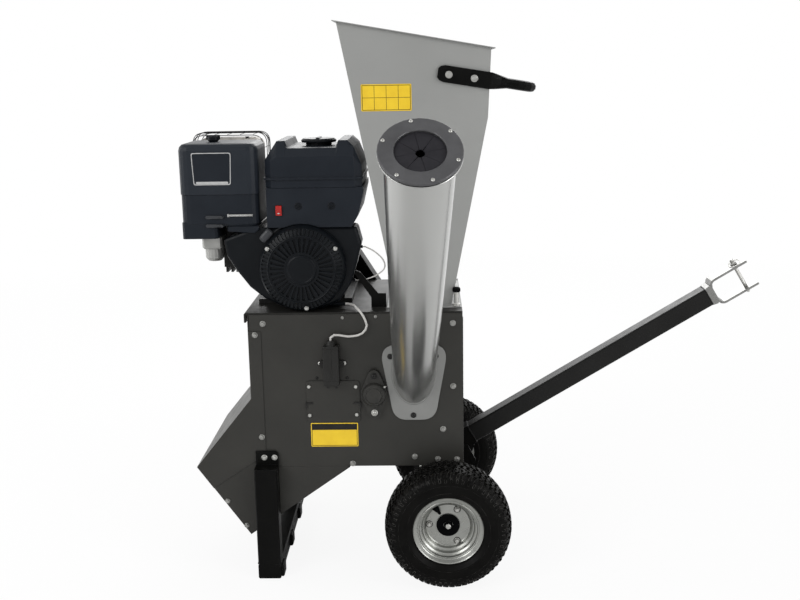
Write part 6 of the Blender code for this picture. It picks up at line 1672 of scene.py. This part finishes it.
@dataclass
class Recoil:
    """Vented recoil cover with its radial slots, toothed rim, cap and screws."""

    crank_x: float = -0.366
    crank_z: float = 0.8278
    inner_slots: int = 34
    outer_slots: int = 60
    inner_edge: float = 0.0815
    outer_edge: float = 0.0880
    inner_depth: float = 0.0050
    outer_depth: float = 0.0032
    inner_share: float = 0.50
    outer_share: float = 0.42
    slot_end: float = 0.94
    slot_walls: tuple[tuple[float, bool], ...] = ((0.02, False), (0.035, True), (0.965, True), (0.98, False))
    sides: int = 120
    shell: tuple[tuple[float, float], ...] = (
        (0.1113, 0.1788), (0.1105, 0.1990), (0.1072, 0.2062), (0.1040, 0.2110), (0.0880, 0.2178),
        (0.0872, 0.2198), (0.0858, 0.2206), (0.0844, 0.2200), (0.0836, 0.2180), (0.0815, 0.2180),
        (0.0440, 0.2204), (0.0385, 0.2206), (0.0372, 0.2236), (0.0352, 0.2249), (0.0325, 0.2251),
        (0.0312, 0.2243), (0.0290, 0.2243), (0.0150, 0.2250), (0.0, 0.2252))
    screws: tuple[float, ...] = (148.0, 31.0, -85.0)
    screw_circle: float = 0.1015
    lug_face: float = 0.2105
    lug_top: float = 0.0030
    lug: Profile = ((0.0078, -0.006), (0.0078, 0.0022), (0.0070, 0.0030), (0.0, 0.0030))
    # Two thin arcs in lighter grip plastic: their colour is a painted highlight along the cover's ridge.
    ridges: tuple[tuple[float, float, float], ...] = ((112, 142, 0.1165), (97, 86, 0.1085))
    ridge_face: float = 0.1782
    ridge_radius: float = 0.0018
    ridge_steps: int = 14

    def band(self, slots: int, share: float) -> list[tuple[float, bool]]:
        """Angles round the cover, each with True where it is in a slot.

        Args:
            slots: Number of slots.
            share: Part of the pitch that a slot takes.

        Returns:
            Four angles for every slot.
        """
        step = 2 * pi / slots
        made = []
        for index in range(slots):
            start = index * step
            made += [(start, False), (start + step * (self.slot_end - share), False),
                     (start + step * (1.0 - share), True), (start + step * self.slot_end, True)]
        return made

    def point(self, radius: float, angle: float, depth: float) -> Vector:
        """Point of the cover at a radius, an angle and a distance from the machine's middle plane."""
        return spot(self.crank_x + radius * cos(angle), -depth, self.crank_z + radius * sin(angle))

    def lattice(self, form: Form, lane: Profile, slots: int, share: float, depth: float) -> None:
        """Add one band of the cover whose slots are sunk into it.

        Args:
            form: The mesh that it goes into.
            lane: Radius and distance of the band's two edges, the outer one first.
            slots: Number of slots.
            share: Part of the pitch that a slot takes.
            depth: Depth of the slots.
        """
        (r0, y0), (r1, y1) = lane
        angles = self.band(slots, share)
        rings = [[self.point(r0, a, y0) for a, _ in angles]]
        for t, sunk in self.slot_walls:
            radius, level = r0 + (r1 - r0) * t, y0 + (y1 - y0) * t
            rings.append([self.point(radius, a, level - (depth if sunk and low else 0.0))
                          for a, low in angles])
        rings.append([self.point(r1, a, y1) for a, _ in angles])
        form.skin(rings, capped=False)

    def cover(self) -> None:
        """Cover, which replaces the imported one."""
        form = Form()
        centre = spot(self.crank_x, 0.0, self.crank_z)
        shell = list(self.shell)
        radii = [radius for radius, _ in shell]
        outer, inner = radii.index(self.outer_edge), radii.index(self.inner_edge)
        for part in (shell[:outer], shell[outer:inner + 1], shell[inner + 1:]):
            self._turn(form, part, centre)
        self.lattice(form, (shell[outer - 1], shell[outer]), self.outer_slots, self.outer_share,
                     self.outer_depth)
        self.lattice(form, (shell[inner], shell[inner + 1]), self.inner_slots, self.inner_share,
                     self.inner_depth)
        made = piece("vented_cover", form, DARK_PLASTIC, sharp=30.0)
        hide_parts("recoil_cover")

    def _turn(self, form: Form, part: Profile, centre: Vector) -> None:
        """Turn one open part of the shell round the crank.

        Args:
            form: The mesh that it goes into.
            part: Its pairs of radius and distance.
            centre: The crank's middle.
        """
        rings = []
        for radius, depth in part:
            if radius < 1e-6:
                rings.append([centre + TOWARDS * depth])
                continue
            rings.append([self.point(radius, 2 * pi * k / self.sides, depth) for k in range(self.sides)])
        form.skin(rings, capped=False)

    def fittings(self) -> None:
        """Screws on their lugs, and two ridges whose lighter colour is a painted highlight."""
        screws, lugs = Form(), Form()
        for angle in self.screws:
            turn = radians(angle)
            at = self.point(self.screw_circle, turn, self.lug_face)
            lugs.lathe(self.lug, at, TOWARDS, 24)
            screws.bolt(at + TOWARDS * self.lug_top, TOWARDS, RECOIL_SCREW, angle)
        piece("cover_lugs", lugs, DARK_PLASTIC, bevel=0.0004)
        piece("cover_screws", screws, ZINC_PLATE)
        # Lighter arcs: painted highlight along the ridge.
        ridge = Form()
        steps = self.ridge_steps
        for low, high, radius in self.ridges:
            line = [self.point(radius, radians(low + (high - low) * k / steps), self.ridge_face)
                    for k in range(steps + 1)]
            ridge.tube(line, self.ridge_radius, 8)
        piece("cover_ridge_highlight", ridge, GRIP_PLASTIC)

    def dress(self) -> None:
        """Build the cover."""
        self.cover()
        self.fittings()


@dataclass
class Exhaust:
    """Wire guard over the muffler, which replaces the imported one, with the clips that hold it."""

    left: float = -0.6905
    right: float = -0.4835
    near: float = 0.0470
    far: float = 0.1650
    low: float = 0.9875
    high: float = 1.1602
    wire: float = 0.0011
    cross_share: float = 0.8
    corner: float = 0.030
    hoops: int = 5
    end_inset: float = 0.007
    hoop_inset: float = 0.0014
    cross_inset: float = 0.0050
    top_wires: tuple[float, ...] = (0.16, 0.33, 0.50, 0.67, 0.84)
    side_wires: tuple[float, ...] = (0.04, 0.28, 0.52, 0.76)
    long_wires: tuple[float, ...] = (0.04, 0.52)
    clips: tuple[float, ...] = (0.25, 0.75)
    clip_inset: float = 0.010
    clip_drop: float = 0.0165

    def hoop(self, y: float, inset: float) -> list[Vector]:
        """Arch of one wire across the guard.

        Args:
            y: Sideways place of the wire.
            inset: Distance inside the guard's faces.

        Returns:
            The wire's centreline.
        """
        left, right, top = self.left + inset, self.right - inset, self.high - inset
        flat = soften([(left, self.low), (left, top), (right, top), (right, self.low)], self.corner, 6)
        return [spot(x, y, z) for x, z in flat]

    def dress(self) -> None:
        """Bend the guard's wires and add its clips."""
        form = Form()
        for index in range(self.hoops):
            share = index / (self.hoops - 1)
            inset = self.end_inset if index in (0, self.hoops - 1) else self.hoop_inset
            form.tube(self.hoop(self.near + (self.far - self.near) * share, inset), self.wire, 8)
        span, rise = self.right - self.left, self.high - self.low
        left, right = self.left + self.cross_inset, self.right - self.cross_inset
        crossings = [(self.left + span * share, self.high - self.cross_inset) for share in self.top_wires]
        crossings += [(x, self.low + rise * share) for x in (left, right) for share in self.side_wires]
        for x, z in crossings:
            form.tube([spot(x, self.near, z), spot(x, self.far, z)], self.wire * self.cross_share, 8)
        for share in self.long_wires:
            z = self.low + rise * share
            for y in (self.near, self.far):
                form.tube([spot(left, y, z), spot(right, y, z)], self.wire, 8)
        made = piece("wire_guard", form, BLACK_PAINT)
        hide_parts("muffler_guard")
        clips = Form()
        for share in self.clips:
            x = self.left + span * share
            at = spot(x, self.near + self.clip_inset, self.high - self.clip_drop)
            clips.bolt(at, UP, GUARD_BOLT, 20)
        piece("guard_clips", clips, BOLT_BLACK)


@dataclass
class Engine:
    """Single-cylinder petrol engine with its covers, fuel tank, controls and exhaust."""

    shroud_face: float = 0.1881
    shroud_bolts: tuple[tuple[float, float], ...] = ((-0.372, 0.986), (-0.288, 0.986))
    recess: Profile = ((0.0090, 0.0), (0.0090, 0.0014), (0.0076, 0.0020), (0.0066, 0.0014), (0.0066, 0.0))
    badge_centre: Point = (-0.587, -0.1921, 1.0835)
    badge_corners: Profile = ((0.047, -0.0405), (-0.047, -0.0405), (-0.0505, 0.0405), (0.0505, 0.0405))
    rod_start: Point = (-0.548, -0.1925, 0.9655)
    rod_end: Point = (-0.488, -0.1925, 0.9655)
    rod_radius: float = 0.0032
    badge_face: tuple[float, float] = (0.955, 0.945)
    badge_foot: tuple[float, float, float] = (0.0815, 0.0062, 0.0025)
    badge_foot_drop: float = 0.0349
    rod_end_cap: Profile = ((0, 0), (0.0048, 0), (0.0048, 0.004), (0, 0.004))
    knob: Profile = ((0, 0), (0.0075, 0), (0.0098, 0.0016), (0.0098, 0.0066), (0.0080, 0.0086), (0, 0.0090))
    knob_at: Point = (-0.6742, -0.107, 1.085)
    duct: Profile = ((-0.040, 0.0), (-0.040, -0.014), (0.030, -0.019), (0.041, -0.010), (0.041, 0.0))
    duct_at: Point = (-0.5165, -0.105, 0.9368)
    duct_width: float = 0.078
    mark_at: Point = (-0.4220, -0.1935, 0.9690)

    def coats(self) -> None:
        """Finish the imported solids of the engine."""
        coat(ENGINE_PLASTIC, "tank_shroud", "fuel_tank", "air_cleaner_base")
        coat(CLEANER_PLASTIC, "air_cleaner_cover")
        coat(DARK_PLASTIC, "blower_housing", "fuel_cap", "air_cleaner_knob")
        coat(GRIP_PLASTIC, "recoil_grip", "choke_lever", "fuel_lever")
        coat(BLOCK_CASTING, "engine_block")
        coat(ENGINE_CASTING, "carburettor")
        coat(MUFFLER_STEEL, "muffler")
        coat(BLACK_PAINT, "engine_stay")
        coat(RED_PLASTIC, "stop_switch")

    def covers(self) -> None:
        """Screws of the shroud, each in its recess ring."""
        screws = Form()
        for x, z in self.shroud_bolts:
            at = spot(x, -self.shroud_face, z)
            screws.lathe(self.recess, at, TOWARDS, 24, closed=True)
            screws.bolt(at, TOWARDS, SHROUD_SCREW)
        piece("shroud_screws", screws, DARK_PLASTIC)

    def badge(self) -> None:
        """Bare badge plate on the air cleaner, with its light border."""
        centre = spot(*self.badge_centre)
        outline = soften(self.badge_corners, 0.006, 5, True)
        border = Form().prism(outline, centre, TOWARDS, 0.0, 0.0009)
        piece("badge_border", border, PLATE_SILVER)
        wide, tall = self.badge_face
        inner = [(u * wide, v * tall) for u, v in outline]
        face = Form().prism(inner, centre, TOWARDS, 0.0004, 0.0013)
        piece("badge_plate", face, ENGINE_PLASTIC)
        foot = Form().prism(rectangle(*self.badge_foot), centre - UP * self.badge_foot_drop, TOWARDS,
                            0.0009, 0.0016)
        piece("badge_foot", foot, PLATE_SILVER)

    def controls(self) -> None:
        """Bright link rod under the air cleaner."""
        start = spot(*self.rod_start)
        rod = Form().tube([start, spot(*self.rod_end)], self.rod_radius, 12)
        rod.lathe(self.rod_end_cap, start, LEFT, 14)
        piece("link_rod", rod, BARE_STEEL)

    def knobs(self) -> None:
        """Cleaner's side knob, the intake duct under it and the mark on the rocker."""
        knob = Form().lathe(self.knob, spot(*self.knob_at), LEFT, 24)
        piece("cleaner_side_knob", knob, DARK_PLASTIC)
        skirt = Form().prism(soften(self.duct, 0.004, 4, True), spot(*self.duct_at), TOWARDS, 0.0,
                             self.duct_width)
        piece("cleaner_duct", skirt, ENGINE_PLASTIC, bevel=0.0020)
        mark = Form().prism(rectangle(0.0050, 0.0022, 0.0006), spot(*self.mark_at), TOWARDS, 0.0, 0.0006)
        piece("rocker_mark", mark, SHEATH, "ignition_switch")

    def dress(self) -> None:
        """Dress the engine."""
        self.coats()
        Recoil().dress()
        Exhaust().dress()
        self.covers()
        self.badge()
        self.controls()
        self.knobs()


@dataclass
class Stand:
    """Legs and foot rail."""

    leg_face: float = 0.2218
    leg_bolts: tuple[tuple[float, float], ...] = ((-0.482, 0.326), (-0.455, 0.326))
    leg_edges: tuple[float, float] = (-0.505, -0.445)
    rail_top: float = 0.0412
    rail_y: float = 0.2400
    weld_half: float = 0.020
    weld_radius: float = 0.0022

    def dress(self) -> None:
        """Dress the stand."""
        coat(BLACK_PAINT, "near_leg", "far_leg", "foot_rail")
        bolts = Form()
        for side in Side:
            for index, (x, z) in enumerate(self.leg_bolts):
                bolts.bolt(spot(x, side.value * self.leg_face, z), side.outward, WALL_BOLT, index * 19.0)
        piece("leg_bolts", bolts, ZINC_PLATE)
        welds = Form()
        for side in Side:
            y = side.value * self.rail_y
            for x in self.leg_edges:
                welds.bead(spot(x, y - self.weld_half, self.rail_top),
                           spot(x, y + self.weld_half, self.rail_top), self.weld_radius)
        piece("foot_welds", welds, WELD_STEEL)


@dataclass
class Tow:
    """Tow bar, clevis, pin and ring."""

    start_x: float = 0.074
    start_z: float = 0.3165
    slope: float = 31.0
    length: float = 0.750
    tube: float = 0.050
    weld_start: float = 0.0005
    weld_sink: float = 0.001
    weld_gap: float = 0.002
    weld_radius: float = 0.0026

    def along(self, travel: float, across: float, y: float) -> Vector:
        """Point beside the bar.

        Args:
            travel: Distance along the bar.
            across: Distance from its middle line, upward.
            y: Sideways place.

        Returns:
            The point in the row frame.
        """
        turn = radians(self.slope)
        return spot(self.start_x + travel * cos(turn) - across * sin(turn), y,
                    self.start_z + travel * sin(turn) + across * cos(turn))

    def dress(self) -> None:
        """Dress the tow bar."""
        coat(BAR_PAINT, "tow_bar")
        coat(BLACK_PAINT, "belt_guard", "belt_guard_back")
        coat(CLEVIS_ZINC, "tow_clevis")
        coat(ZINC_PLATE, "hitch_pin", "hitch_ring")
        edge, end = self.tube / 2 - self.weld_sink, self.tube / 2 - self.weld_gap
        welds = Form()
        for travel in (self.weld_start, self.length):
            for sign in (-1, 1):
                welds.bead(self.along(travel, sign * edge, -end), self.along(travel, sign * edge, end),
                           self.weld_radius)
                welds.bead(self.along(travel, -end, sign * edge), self.along(travel, end, sign * edge),
                           self.weld_radius)
        piece("bar_welds", welds, WELD_STEEL)


def main() -> None:
    """Build the studio and every sub-assembly in order."""
    logging.basicConfig(level=logging.INFO, format="%(name)s: %(message)s")
    studio = Studio()
    studio.camera()
    Cords().dress()
    for assembly in (Wheels(), Housing(), Discharge(), Rotor(), Feed(), Hopper(), Engine(), Stand(), Tow()):
        LOG.info("dressing %s", type(assembly).__name__)
        assembly.dress()
    studio.build()


if __name__ == "__main__":
    main()
